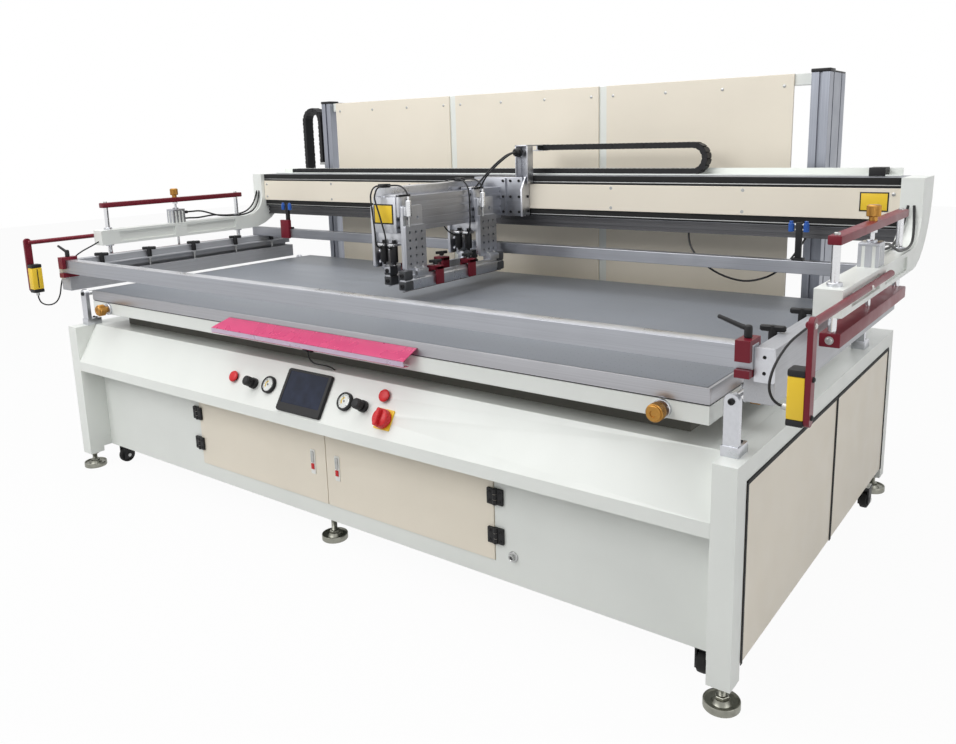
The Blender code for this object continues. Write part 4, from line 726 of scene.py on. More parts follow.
REGULATORS = {"regulator_knob_left": (-0.280, 0.076), "regulator_knob_right": (0.245, 0.083)}
REGULATOR_FOOT = (
    (0.0, 0.0004), (0.0188, 0.0004), (0.0188, 0.013), (0.0172, 0.015), (0.013, 0.0158),
    (0.013, 0.022), (0.0, 0.022),
)
REGULATOR_TOP = ((0.0, 0.0427), (0.013, 0.0429), (0.012, 0.0452), (0.0085, 0.0459), (0.0, 0.0459))
RIBBED = toothed(0.017, 0.0158, 32)
for node, (x, up) in REGULATORS.items():
    place = on_slope(x, up)
    knob = Shape().lathe(place, REGULATOR_FOOT, 36).prism(RIBBED, place, 0.0212, 0.0432, 0.0012)
    knob.lathe(place, REGULATOR_TOP, 32).make(node + "_grip", BLACK, node, [node])

SWITCH_PLACE, SWITCH_PLATE = on_slope(0.342, 0.059), 0.064
SWITCH_PROFILE = (
    (0.0, 0.004), (0.0285, 0.004), (0.0299, 0.0055), (0.0299, 0.021), (0.0285, 0.026),
    (0.024, 0.0292), (0.0, 0.03),
)
switch = Shape().lathe(SWITCH_PLACE, SWITCH_PROFILE, 40)
switch.prism(rounded(0.014, 0.0555, 0.006), SWITCH_PLACE, 0.024, 0.0436, 0.0022)
switch.make("main_switch_grip", RED, "main_switch_knob", ["main_switch_knob"])
switch_plate = rounded(SWITCH_PLATE, SWITCH_PLATE, 0.004)
switch = Shape().prism(switch_plate, SWITCH_PLACE, 0.0002, 0.0034, 0.0008, [circle(0.014, 24)])
switch.make("main_switch_plate", YELLOW, "base")

# Vacuum table.

TABLE_HALF, TABLE_FRONT, TABLE_REAR, TABLE_LOW, TABLE_TOP = 1.348, 0.070, 1.276, 0.732, 0.776
EDGE, GASKET_INSET = 0.008, 0.003
BED_BACKS, RIM_Z = (TABLE_FRONT + EDGE, TABLE_REAR - EDGE), (TABLE_LOW + 0.003, TABLE_TOP - 0.0008)
bed = Shape().slab(around(0.0, TABLE_HALF - EDGE), BED_BACKS, (TABLE_LOW + 0.004, TABLE_TOP), 0.0008)
bed.make("table_bed", TABLE_GREY, "table_top", ["table_top"])
rim = Shape()
for back in ((TABLE_FRONT, BED_BACKS[0]), (BED_BACKS[1], TABLE_REAR)):
    rim.slab(around(0.0, TABLE_HALF), back, RIM_Z, 0.0015)
for side, sign in SIDES:
    rim.slab((sign * (TABLE_HALF - EDGE), sign * TABLE_HALF), BED_BACKS, RIM_Z, 0.0015)
rim.make("table_edging", EDGE_ALU, "table_top")
gasket_x = around(0.0, TABLE_HALF - GASKET_INSET)
gasket_backs = TABLE_FRONT + GASKET_INSET, TABLE_REAR - GASKET_INSET
gasket = Shape().slab(gasket_x, gasket_backs, (TABLE_LOW, TABLE_LOW + 0.0045), 0.0008)
gasket.make("table_gasket", RUBBER, "table_top")

TABLE_KNOBS = {
    "table_knob_front_left": ((-1.230, 0.070, 0.708), FORWARD),
    "table_knob_front_right": ((1.230, 0.070, 0.708), FORWARD),
    "table_knob_side": ((1.348, 0.290, 0.708), ACROSS),
}
KNOB_TOP = (
    (0.0, 0.0465), (0.0195, 0.0465), (0.0195, 0.05), (0.018, 0.0515), (0.0085, 0.052),
    (0.0075, 0.0495), (0.0, 0.0495),
)
KNOB_FLANGE = ((0.024, 0.0), (0.024, 0.0075), (0.0225, 0.0092), (0.015, 0.0092), (0.015, 0.0))
FLANGE_SCREW_RADIUS, FLANGE_SCREW_STEP, FLANGE_SCREW_START = 0.0195, 2.1, 0.4


def knurled(shape, place, radius, low, high, count=36):
    return shape.prism(toothed(radius, radius * 0.95, 2 * count), place, low, high, 0.0018)


flanges = Shape()
for node, (spot, axis) in TABLE_KNOBS.items():
    place = seat(*spot, axis)
    knob = Shape().disc(place, 0.0128, 0.0092, 0.0225)
    knurled(knob, place, 0.023, 0.022, 0.047).lathe(place, KNOB_TOP, 32)
    knob.make(node + "_grip", BRASS, node, [node])
    flanges.lathe(place, KNOB_FLANGE, 36)
    for number in range(3):
        turn = FLANGE_SCREW_STEP * number + FLANGE_SCREW_START
        spot = Vector((FLANGE_SCREW_RADIUS * math.cos(turn), FLANGE_SCREW_RADIUS * math.sin(turn), 0.009))
        flanges.socket_screw(place @ spot, axis, 0.0028, 0.0018)
flanges.make("table_knob_flanges", ALU_BRIGHT, "table_frame")

# Side rods.

ROD_X, ROD_Z, ROD_RADIUS, POST_HALF, POST_LOW, POST_RISE = 1.404, 0.757, 0.010, 0.019, 0.6242, 0.133
POSTS, FOOT_Z, FOOT_MARGIN = ((0.058, 0.076, 0.116), (1.240, 1.258, 1.298)), (0.6238, 0.650), 0.003
ROD_ENDS = (0.0755, 1.2405)
POST_TURNS = [math.pi * i / 12.0 for i in range(13)]
POST_OUTLINE = [(-POST_HALF, 0.0), (POST_HALF, 0.0)]
POST_OUTLINE += [(POST_HALF * math.cos(turn), POST_RISE + POST_HALF * math.sin(turn)) for turn in POST_TURNS]
for side, sign in SIDES:
    x = sign * ROD_X
    body, dark = Shape(), Shape()
    for front, rear, foot in POSTS:
        body.prism(POST_OUTLINE, seat(x, rear, POST_LOW, FORWARD), 0.0, rear - front, 0.0014)
        wide = x - POST_HALF - FOOT_MARGIN, x + POST_HALF + FOOT_MARGIN
        body.slab(wide, (front - FOOT_MARGIN, foot), FOOT_Z, 0.0015)
        dark.socket_screw(at(x, front, ROD_Z), FORWARD, 0.008, 0.005)
        for spot in (-0.010, 0.010):
            dark.socket_screw(at(x + spot, (rear + foot) / 2.0 + 0.004, FOOT_Z[1]), UP)
    body.make(f"rod_posts_{side}", ALU_BRIGHT, "base", [f"side_rod_{side}"])
    guide = Shape().rod(*[at(x, end, ROD_Z) for end in ROD_ENDS], ROD_RADIUS)
    guide.make(f"guide_rod_{side}", CHROME, "base")
    dark.make(f"rod_screws_{side}", BLACK, "base")

# Rear frame and columns.

COLUMNS, COLUMN_HALF, COLUMN_FRONT, COLUMN_REAR, COLUMN_TOP = (-1.248, 1.203), 0.031, 1.358, 1.558, 1.550
CAP_LOW, CAP_BACKS, CAP_MARGIN = COLUMN_TOP + 0.0002, (COLUMN_FRONT - 0.002, COLUMN_FRONT + 0.060), 0.002
REAR_CAP_BACKS = (COLUMN_FRONT + 0.066, COLUMN_REAR)
caps = Shape()
for x in COLUMNS:
    caps.slab(around(x, COLUMN_HALF + CAP_MARGIN), CAP_BACKS, (CAP_LOW, COLUMN_TOP + 0.012), 0.0025)
    caps.slab(around(x, COLUMN_HALF), REAR_CAP_BACKS, (CAP_LOW, COLUMN_TOP + 0.006), 0.002)
caps.make("column_caps", BLACK, "base")
PANELS = ((-1.190, -0.4473), (-0.4113, 0.3313), (0.3673, 1.110))
PANEL_SHARES, PANEL_FACE, PANEL_HEIGHTS = (0.04, 0.345, 0.650, 0.955), 1.3722, (0.668, 1.090, 1.510)
HOLDER_FACE, HOLDER_HEIGHTS = 1.4203, (0.672, 1.510)
panel_screws, panel_holders = Shape(), Shape()
for low, high in PANELS:
    for share in PANEL_SHARES:
        x = low + (high - low) * share
        for z in PANEL_HEIGHTS:
            panel_screws.pan_screw(at(x, PANEL_FACE, z), FORWARD)
        for z in HOLDER_HEIGHTS:
            panel_holders.socket_screw(at(x, HOLDER_FACE, z), BACKWARD, 0.006)
panel_screws.make("back_panel_screws", ZINC, "base")
panel_holders.make("rear_frame_screws", BLACK, "base")

# Lifting beam.

BEAM_HALF, BEAM_FACE, COVER_FACE = 1.5214, 1.1650, 1.1470
GROOVE, GROOVE_DEEP = 0.0045, 0.0060


def slotted(wide, high, across, up):
    """Outline of an extrusion with slots at the given offsets on its faces."""
    outline = []
    faces = (False, wide / 2, high / 2, across), (True, high / 2, wide / 2, up)
    for sign in (1, -1):
        for upright, half, other, slots in faces:
            edge = [(-half, 0.0)]
            for spot in sorted(slots):
                near, far = around(spot, GROOVE)
                edge += [(near, 0.0), (near, GROOVE_DEEP), (far, GROOVE_DEEP), (far, 0.0)]
            for along, deep in edge:
                face = sign * (other - deep)
                outline.append((face, sign * along) if upright else (sign * along, -face))
    return outline


GIRDER = slotted(0.125, 0.1636, (-0.030, 0.030), (-0.055, 0.0, 0.055))
girder = Shape().prism(GIRDER, seat(0.0, 1.2275, 1.122, ACROSS), -BEAM_HALF, BEAM_HALF, 0.001)
girder.make("beam_girder", ALU_X, "beam", ["beam"])
# The stiffener takes the darkened aluminium, painted shade under the cover.
STIFFENER = slotted(0.045, 0.040, (), (-0.009, 0.009))
stiffener = Shape().prism(STIFFENER, seat(0.0, 1.1875, 1.0202, ACROSS), -BEAM_HALF, BEAM_HALF, 0.001)
stiffener.make("beam_stiffener", ALU_PAINTED_SHADE, "beam")
SHOE_HALF, SLIDER_HALF, SLIDER_BACKS, SHOE_SCREWS = 0.031, 0.024, (1.329, 1.3572), (1.048, 1.162)
shoes, shoe_screws = Shape(), Shape()
for x in COLUMNS:
    shoes.slab(around(x, SHOE_HALF), (1.2898, 1.33), (1.03, 1.18), 0.003)
    for heights in ((1.034, 1.092), (1.118, 1.176)):
        shoes.slab(around(x, SLIDER_HALF), SLIDER_BACKS, heights, 0.0025)
    for side, sign in SIDES:
        for z in SHOE_SCREWS:
            shoe_screws.socket_screw(at(x + sign * SHOE_HALF, 1.31, z), sign * ACROSS, 0.006, 0.005)
shoes.make("beam_shoes", DARK_GREY, "beam")
shoe_screws.make("beam_shoe_screws", ZINC, "beam")
TRAY_HALF, TRAY_FRONT, TRAY_REAR, TRAY_LOW, TRAY_WALL = 1.500, 1.2152, 1.2748, 1.2042, 0.002
TRAY_X = around(0.0, TRAY_HALF)
tray = Shape().slab(TRAY_X, (TRAY_FRONT, TRAY_REAR), (TRAY_LOW, TRAY_LOW + 0.0016), 0.0005)
tray.slab(TRAY_X, (TRAY_REAR - TRAY_WALL, TRAY_REAR), (TRAY_LOW, 1.229), 0.0006)
tray.slab(TRAY_X, (TRAY_FRONT, TRAY_FRONT + TRAY_WALL), (TRAY_LOW, 1.2095), 0.0006)
tray.make("chain_tray", WHITE, "beam")
bands, guides = Shape(), Shape()
for low, high, face in ((1.0425, 1.0705, 1.152), (1.1715, 1.2025, 1.15)):
    bands.slab(around(0.0, BEAM_HALF), (face, BEAM_FACE + 0.0002), (low, high), 0.0012)
    heights = low + 0.006, low + 0.0092
    guides.slab(around(0.0, BEAM_HALF - 0.002), (face - 0.0012, face + 0.002), heights, 0.0006)
bands.make("beam_guide_beds", RUBBER, "beam")
guides.make("beam_guide_rails", ZINC, "beam")
# The screws at the ends of the cover stand out, the others lie nearly flush.
END_SCREW_X, END_SCREW_HEIGHTS, END_SCREW_HEAD = 1.500, (1.090, 1.152), 0.0020
INNER_SCREW_XS, INNER_SCREW_HEIGHTS, INNER_SCREW_HEAD = (1.020, 0.510), (1.084, 1.158), 0.0002
cover_screws = Shape()
for x in (-END_SCREW_X, *(-x for x in INNER_SCREW_XS), *INNER_SCREW_XS[::-1], END_SCREW_X):
    end = abs(x) == END_SCREW_X
    for z in END_SCREW_HEIGHTS if end else INNER_SCREW_HEIGHTS:
        head = END_SCREW_HEAD if end else INNER_SCREW_HEAD
        cover_screws.pan_screw(at(x, COVER_FACE, z), FORWARD, height=head)
cover_screws.make("beam_cover_screws", ZINC, "beam")
for name, material, x, back, z, bevel in (
    ("beam_notice_border", BLACK, (1.401, 1.487), (-0.0008, 0.0002), (1.097, 1.158), 0.0003),
    ("beam_notice_plate", YELLOW, (1.405, 1.483), (-0.0012, 0.0), (1.101, 1.154), 0.0003),
    ("tray_end", BLACK, (1.408, 1.458), (0.067, 0.129), (1.2045, 1.232), 0.002),
):
    Shape().slab(x, [COVER_FACE + part for part in back], z, bevel).make(name, material, "beam")

# Arms, lift frames, sensors.

LIFT_X, LIFT_BACK, LIFT_POSTS, LIFT_ENDS = 1.5545, 0.636, (0.287, 0.985), (0.8905, 1.0975)
LIFT_POST_RADIUS, PISTON_RADIUS, LIFT_BAR_TOP = 0.0098, 0.006, 1.1188
LIFT_BOLT = (0.2682, 0.874)
BUSH_BORE, BUSH_RADIUS, BUSHES = 0.0102, 0.018, ((1.000, 0.009), (0.928, 0.007))
LIFT_KNOB_TOP = ((0.0, 0.04), (0.015, 0.0402), (0.014, 0.0416), (0.006, 0.0419), (0.0, 0.0419))
CYLINDER = slotted(0.052, 0.064, (-0.013, 0.013), (-0.018, 0.0, 0.018))
CYLINDER_NECK = ((0.0068, 0.0), (0.014, 0.0), (0.014, 0.0045), (0.012, 0.0065), (0.0068, 0.0065))
LIFT_PORTS = (("low", 1.014, -0.012), ("high", 1.046, 0.012))
PORT_BACK, PORT_LENGTH, PORT_RADIUS, LIFT_HOSE = 0.668, 0.022, 0.007, 0.008
# Light curtain: round bar, drop bar with rounded ends and yellow housing.
TUBE_X, TUBE_Z, TUBE_BACKS, DROP_BACK, DROP_FACE = 1.5963, 0.976, (-0.050, 0.690), -0.0495, 1.608
DROP_WIDE, DROP_HIGH, DROP_MIDDLE, DROP_ROUND = 0.029, 0.228, 0.880, 0.014
# The left lead leaves its housing below, the right one on the inner side.
SENSOR_LEADS = {
    "left": (
        (1.5785, -0.043, 0.7525), (1.578, -0.0425, 0.74), (1.575, -0.036, 0.721), (1.569, -0.02, 0.709),
        (1.561, 0.001, 0.7075), (1.553, 0.02, 0.719), (1.545, 0.033, 0.748), (1.538, 0.044, 0.804),
        (1.534, 0.074, 0.868), (1.537, 0.129, 0.911), (1.547, 0.196, 0.936), (1.5545, 0.2362, 0.95),
    ),
    "right": (
        (1.55, -0.043, 0.8), (1.54, -0.043, 0.802), (1.527, -0.0425, 0.812), (1.519, -0.04, 0.831),
        (1.518, -0.03, 0.856), (1.521, 0.0, 0.884), (1.527, 0.06, 0.91), (1.537, 0.129, 0.925),
        (1.547, 0.196, 0.938), (1.5545, 0.2362, 0.95),
    ),
}
SENSOR_GLANDS = {
    "left": ((1.5785, -0.043, 0.766), (1.5785, -0.043, 0.752)),
    "right": ((1.5625, -0.043, 0.7975), (1.548, -0.043, 0.8004)),
}
SENSOR_LEAD, SENSOR_GLAND = 0.006, 0.007


def lift_route(x, shift, z):
    """Way of a lift hose from its port past the rear post to the beam."""
    return (
        (x + shift, 0.686, z), (x + shift, 0.713, z), (x + shift * 1.3, 0.77, z - 0.003),
        (x + shift * 1.9, 0.86, 1.015), (x + shift * 2.0, 0.94, 1.008), (x + shift * 2.0, 1.01, 1.008),
        (x + shift * 1.8, 1.068, 1.022), (x + shift * 1.3, 1.108, 1.06), (x + shift * 0.7, 1.131, 1.12),
    )


for side, sign in SIDES:
    x, out = sign * LIFT_X, sign * ACROSS
    bars = Shape().slab(around(x, 0.016), (0.265, 1.014), (1.097, 1.119), 0.0035)
    bars.slab(around(x, 0.024), (0.268, 1.006), (0.857, 0.891), 0.0035)
    bars.make(f"lift_bars_{side}", MAROON, "screen_holder", [f"lift_frame_{side}"])
    posts, bushes, nuts = Shape(), Shape(), Shape()
    for back in LIFT_POSTS:
        posts.rod(*[at(x, back, end) for end in LIFT_ENDS], LIFT_POST_RADIUS)
        for low, high in BUSHES:
            foot = ((BUSH_BORE, 0.0), (BUSH_RADIUS, 0.0), (BUSH_RADIUS, high - 0.0015))
            bushes.lathe(seat(x, back, low), foot + ((0.0165, high), (BUSH_BORE, high)))
        nuts.socket_screw(at(x, back, LIFT_BAR_TOP), UP, 0.0075, 0.006)
    posts.rod(*[at(x, LIFT_BACK, end) for end in LIFT_ENDS], PISTON_RADIUS)
    posts.hex_nut(at(x, LIFT_BACK, 1.088), UP, 0.012, 0.0085)
    posts.make(f"lift_posts_{side}", CHROME, "screen_holder")
    bushes.make(f"lift_bushes_{side}", ALU_BRIGHT, "beam")
    nuts.socket_screw(at(x, *LIFT_BOLT), FORWARD, 0.007, 0.006)
    nuts.disc(seat(x, *LIFT_BOLT, FORWARD), 0.01, 0.0, 0.0014, 24)
    nuts.make(f"lift_bolts_{side}", ZINC, "screen_holder")

    place = seat(x, LIFT_BACK, 1.1192)
    knob = Shape().disc(place, 0.011, 0.0, 0.012)
    knurled(knob, place, 0.018, 0.011, 0.0404, 30).lathe(place, LIFT_KNOB_TOP)
    knob.make(f"lift_knob_{side}_grip", BRASS, f"lift_knob_{side}", [f"lift_knob_{side}"])

    block = Shape().prism(CYLINDER, seat(x, LIFT_BACK, 1.0004), 0.0, 0.056, 0.0008)
    block.slab(around(x, 0.0262), around(LIFT_BACK, 0.0322), (1.056, 1.064), 0.0012)
    block.lathe(seat(x, LIFT_BACK, 1.0636), CYLINDER_NECK, 24)
    block.make(f"lift_cylinder_{side}", ALU_Z, "beam")
    fittings = Shape()
    for port, z, shift in LIFT_PORTS:
        start = at(x + shift, PORT_BACK, z)
        fittings.rod(start, start + BACKWARD * PORT_LENGTH, PORT_RADIUS)
        hanging_cord(f"lift_hose_{port}_{side}", lift_route(x, shift, z), LIFT_HOSE, "beam")
    fittings.make(f"lift_fittings_{side}", BLACK, "beam")

    curtain = Shape().rod(*[at(sign * TUBE_X, end, TUBE_Z) for end in TUBE_BACKS], 0.009, 0.002)
    drop = rounded(DROP_WIDE, DROP_HIGH, DROP_ROUND, 8)
    curtain.prism(drop, seat(sign * TUBE_X, DROP_BACK, DROP_MIDDLE, out), 0.0, 0.0118, 0.001)
    curtain.make(f"sensor_bar_{side}", MAROON, "beam", [f"sensor_bracket_{side}"])
    studs = Shape().pan_screw(at(sign * 1.605, 0.44, TUBE_Z), out, 0.0065, 0.003)
    studs.pan_screw(at(sign * DROP_FACE, DROP_BACK, TUBE_Z), out, 0.006, 0.0035)
    studs.make(f"sensor_bolts_{side}", DIAL, "beam")
    dark_studs = Shape()
    for z in (0.866, 0.786):
        dark_studs.pan_screw(at(sign * DROP_FACE, DROP_BACK, z), out, 0.006, 0.0045)
    dark_studs.make(f"sensor_screws_{side}", BLACK, "beam")
    housing = Shape().slab((sign * 1.561, sign * 1.5966), (-0.0645, -0.0215), (0.78, 0.871), 0.004)
    housing.make(f"sensor_housing_{side}", YELLOW, "beam")
    ends = Shape()
    for heights in ((0.7655, 0.7805), (0.8705, 0.8855)):
        ends.slab((sign * 1.5605, sign * 1.597), (-0.065, -0.021), heights, 0.0045)
    ends.slab((sign * 1.5606, sign * 1.5614), (-0.045, -0.0405), (0.786, 0.865), 0.0003)
    ends.make(f"sensor_caps_{side}", BLACK, "beam")
    gland_ends = [at(sign * across, back, z) for across, back, z in SENSOR_GLANDS[side]]
    Shape().rod(*gland_ends, SENSOR_GLAND).make(f"sensor_gland_{side}", ZINC, "beam")
    hanging_cord(f"sensor_lead_{side}", SENSOR_LEADS[side], SENSOR_LEAD, "beam", sign)

# Screen holder.

RAIL_MIDDLE, RAIL_FRONT, RAIL_REAR = 1.486, 0.030, 1.240
FLANGE, FLANGE_BACKS, FLANGE_TOP, FLANGE_THICK = (1.440, 1.4638), (0.068, 1.230), 0.870, 0.006
WING_X, WING_BACKS, WING_TURNS = 1.450, (0.185, 0.412, 0.645, 0.885, 1.110), {"left": 40.0, "right": 5.0}
WING_STEP = 7.0
WING_PROFILE = (
    (0.0, 0.0004), (0.0095, 0.0004), (0.0105, 0.005), (0.01, 0.03), (0.008, 0.045), (0.0, 0.0465),
)
PLATE_HOLES = circles(0.0042, 16, (0.0,), (-0.018, 0.018))
LEVER_X, LEVER_BACK, LEVER_Z = 1.445, 0.034, 0.9163
LEVER_HUB = (
    (0.0, 0.0002), (0.0075, 0.0002), (0.009, 0.0015), (0.009, 0.022), (0.008, 0.0262), (0.005, 0.0285),
    (0.0, 0.029),
)
LEVER_LINE = ((0.0, 0.02), (-0.016, 0.024), (-0.034, 0.03), (-0.052, 0.036), (-0.066, 0.0405))
LEVER_RADII = (0.006, 0.0056, 0.0052, 0.0048)
LEVER_TIP = ((0.0048, -0.001), (0.0045, 0.0015), (0.003, 0.0035), (0.0, 0.0042))
STRAP_BACK, FITTING_XS, FITTING_BACK, PIN_BACK = (1.050, 1.062), (1.220, 1.268), 1.050, 1.056
FITTING_STEPS = ((1.034, 1.062, 0.009, 0.0015), (1.062, 1.069, 0.006, 0.001))
for side, sign in SIDES:
    x = sign * WING_X
    flange_x = [sign * face for face in FLANGE]
    flange = Shape().slab(flange_x, FLANGE_BACKS, (FLANGE_TOP - FLANGE_THICK, FLANGE_TOP), 0.001)
    flange.make(f"rail_flange_{side}", ALU_RAIL, "screen_holder")
    handles, stems = Shape(), Shape()
    for number, back in enumerate(WING_BACKS):
        stems.rod(at(x, back, 0.833), at(x, back, FLANGE_TOP + 0.01), 0.0042, 0.0004, 16)
        stems.hex_nut(at(x, back, FLANGE_TOP - 0.0115), UP, 0.008, 0.0055)
        place = turned(seat(x, back, FLANGE_TOP), WING_TURNS[side] + WING_STEP * number)
        handles.lathe(place, WING_PROFILE, 20)
        handles.prism(rounded(0.06, 0.016, 0.0076), place, 0.0312, 0.045, 0.0028)
    handles.make(f"rail_wing_knobs_{side}", BLACK, "screen_holder")
    stems.make(f"rail_knob_stems_{side}", ZINC, "screen_holder")
    middle = sign * RAIL_MIDDLE
    place = seat(middle, RAIL_FRONT - 0.0002, 0.861, FORWARD)
    plate = Shape().prism(rounded(0.044, 0.078, 0.003), place, 0.0, 0.006, 0.0008, PLATE_HOLES)
    plate.make(f"rail_end_plate_{side}", ALU_BRIGHT, "screen_holder")
    ends = Shape()
    for z in (0.872, 0.812):
        ends.socket_screw(at(middle, RAIL_REAR, z), BACKWARD, 0.0085, 0.005)
    for z in (0.843, 0.879):
        ends.disc(seat(middle, RAIL_FRONT - 0.001, z, FORWARD), 0.004, 0.0, 0.0008, 16)
    ends.make(f"rail_end_screws_{side}", BLACK, "screen_holder")

    # Ratchet lever on the front clamp.
    axis = at(sign * LEVER_X, LEVER_BACK, LEVER_Z)
    lever = Shape().lathe(frame_at(axis, UP), LEVER_HUB, 24)
    handle = [axis + Vector((reach, 0.0, rise)) for reach, rise in LEVER_LINE]
    for start, end, radius in zip(handle, handle[1:], LEVER_RADII):
        lever.tube((start, end), radius, 14)
    lever.lathe(frame_at(handle[-1], (-0.9, 0, 0.3)), LEVER_TIP, 14)
    lever.make(f"clamp_lever_{side}_grip", BLACK, f"clamp_lever_{side}", [f"clamp_lever_{side}"])
    screw = Shape().rod(*[at(sign * LEVER_X, LEVER_BACK, z) for z in (0.88, 0.9158)], 0.005)
    screw.make(f"clamp_screw_{side}", ZINC, "screen_holder")

    # Strap that carries the rear bar, with blue push-in fittings.
    strap = Shape().slab((sign * 1.234, sign * 1.254), STRAP_BACK, (0.9398, 1.064), 0.0015)
    strap.slab((sign * 1.226, sign * 1.262), (1.044, 1.076), (0.9398, 0.948), 0.0015)
    strap.make(f"rear_strap_{side}", BLACK, "screen_holder")
    push_ins = Shape()
    for spot in FITTING_XS:
        for low, high, radius, chamfer in FITTING_STEPS:
            push_ins.rod(*[at(sign * spot, FITTING_BACK, z) for z in (low, high)], radius, chamfer)
    push_ins.make(f"rear_fittings_{side}", BLUE, "screen_holder")
    pins = Shape()
    for z in (1.04, 1.056):
        pins.rod(*[at(sign * end, PIN_BACK, z) for end in (1.215, 1.273)], 0.0035, 0.0004, 14)
    pins.make(f"rear_fitting_pins_{side}", ZINC, "screen_holder")

grip = Shape().slab((-1.274, -1.214), (1.029, 1.0398), (0.896, 0.986), 0.002)
grip.slab((-1.272, -1.216), (1.038, 1.0495), (0.9404, 0.985), 0.002)
grip.make("rear_clamp", MAROON, "screen_holder")
REAR_CABLE = (
    (0.815, 1.176, 1.0), (0.823, 1.16, 0.98), (0.848, 1.13, 0.948), (0.895, 1.112, 0.906),
    (0.962, 1.106, 0.868), (1.05, 1.104, 0.85), (1.13, 1.106, 0.87), (1.185, 1.112, 0.912),
    (1.215, 1.13, 0.956), (1.232, 1.176, 1.0),
)
hanging_cord("rear_cable", REAR_CABLE, 0.007, "beam")
# Bright aluminium strip on the front bar's top: a painted highlight along its top edge.
bar_top_highlight = Shape().slab(around(0.0, 1.463), (0.014, 0.054), (0.9028, 0.9048), 0.0008)
bar_top_highlight.make("front_bar_painted_highlight", ALU_BRIGHT, "screen_holder")

# Squeegee carriage.

CARRIAGE_LOW, CARRIAGE_HIGH, PLATE_FACE, RAISED_FACE = 1.043, 1.200, 1.105, 1.096
backing = Shape().slab((-0.110, 0.132), (PLATE_FACE, 1.1455), (CARRIAGE_LOW, CARRIAGE_HIGH), 0.003)
backing.slab((-0.100, 0.054), (RAISED_FACE, 1.106), (CARRIAGE_LOW + 0.004, CARRIAGE_HIGH - 0.004), 0.0015)
backing.make("carriage_plate", ALU_X, "carriage", ["carriage"])
SIDE_PLATE = ((-0.036, -0.0785), (0.02, -0.0785), (0.02, 0.0785), (-0.006, 0.0785), (-0.036, 0.03))
side_plate = Shape().prism(SIDE_PLATE, seat(0.1322, 1.1255, 1.1215, ACROSS), 0.0, 0.0078, 0.001)
side_plate.make("carriage_side_plate", ALU_BRIGHT, "carriage")
PLATE_SCREW = (0.0055, 0.0045)
plate_screws = Shape()
for z in (1.062, 1.121, 1.18):
    plate_screws.socket_screw(at(0.14, 1.13, z), ACROSS, *PLATE_SCREW)
for x, face in ((-0.09, RAISED_FACE), (0.044, RAISED_FACE), (0.074, PLATE_FACE), (0.116, PLATE_FACE)):
    for z in (1.06, 1.121, 1.185):
        plate_screws.socket_screw(at(x, face, z), FORWARD, *PLATE_SCREW)
plate_screws.make("carriage_screws", BLACK, "carriage")
MAST_X, MAST_Z, MAST_FLANGES = (0.098, 0.158), (1.174, 1.326), (1.107, 1.143)
mast = Shape().slabs(
    0.001, (MAST_X, (1.142, 1.147), MAST_Z),
    ((0.098, 0.103), MAST_FLANGES, MAST_Z), ((0.153, 0.158), MAST_FLANGES, MAST_Z),
    (MAST_X, (1.107, 1.267), (1.321, 1.326)), (MAST_X, (1.222, 1.267), (1.3, 1.304)),
    (MAST_X, (1.263, 1.267), (1.3, 1.326)),
)
mast.make("chain_mast", ALU_BRIGHT, "carriage")
GLAND = ((0.0, 0.0), (0.019, 0.0), (0.019, 0.008), (0.016, 0.01), (0.016, 0.024), (0.011, 0.03), (0.0, 0.03))
Shape().lathe(seat(0.118, 1.1075, 1.298, FORWARD), GLAND).make("mast_gland", BLACK, "carriage")
MAST_HOSE, MAST_HOSES = 0.007, ((0.0, 0.94), (0.011, 0.965))
for number, (shift, reach) in enumerate(MAST_HOSES):
    route = (
        (0.118 + shift * 0.6, 1.08, 1.298), (0.118 + shift * 0.7, 1.054, 1.2965),
        (0.108 + shift, 1.023, 1.285), (0.08 + shift, 0.99, 1.252), (0.047 + shift, 0.963, 1.208),
        (0.012 + shift, reach, 1.16),
    )
    hanging_cord(f"mast_hose_{number + 1}", route, MAST_HOSE, "carriage")

# Boom: a rectangular extrusion with slots along its faces.
BOOM_X, BOOM_Z, BOOM_FRONT, BOOM_BACK = -0.023, 1.098, 0.464, 1.097
BOOM = slotted(0.106, 0.126, (-0.03, 0.03), (-0.044, -0.015, 0.015, 0.044))
boom = Shape().prism(BOOM, seat(BOOM_X, BOOM_BACK, BOOM_Z, FORWARD), 0.0, BOOM_BACK - BOOM_FRONT, 0.0008)
boom.make("squeegee_beam", ALU_Y, "carriage", ["squeegee_boom"])
for name, material, x, back, z, bevel in (
    ("boom_top_channel", ALU_BRIGHT, (-0.076, -0.026), (0.47, 1.06), (1.1606, 1.193), 0.002),
    ("boom_end_cover", ALU_BRIGHT, (-0.076, 0.03), (0.4602, 0.4642), (1.035, 1.161), 0.0015),
    ("boom_label_border", BLACK, (-0.073, 0.019), (0.459, 0.4604), (1.066, 1.137), 0.0003),
    ("boom_label_plate", YELLOW, (-0.068, 0.014), (0.4584, 0.4594), (1.071, 1.132), 0.0003),
):
    Shape().slab(x, back, z, bevel).make(name, material, "carriage")

HEADS = {"head_front": (0.470, 0.575), "head_rear": (0.905, 1.010)}


def front_hose(x, end):
    """Air hose over the front of the boom and down to a cylinder."""
    return (
        (x, 0.01, 1.199), (x, -0.008, 1.1985), (x, -0.024, 1.191), (x, -0.034, 1.1755),
        (x, -0.0375, 1.155), ((x + end) / 2.0, -0.038, 1.095), (end, -0.038, 1.03),
        (end, -0.0375, 1.008), (end, -0.0335, 0.994), (end, -0.024, 0.984), (end, -0.01, 0.98),
    )


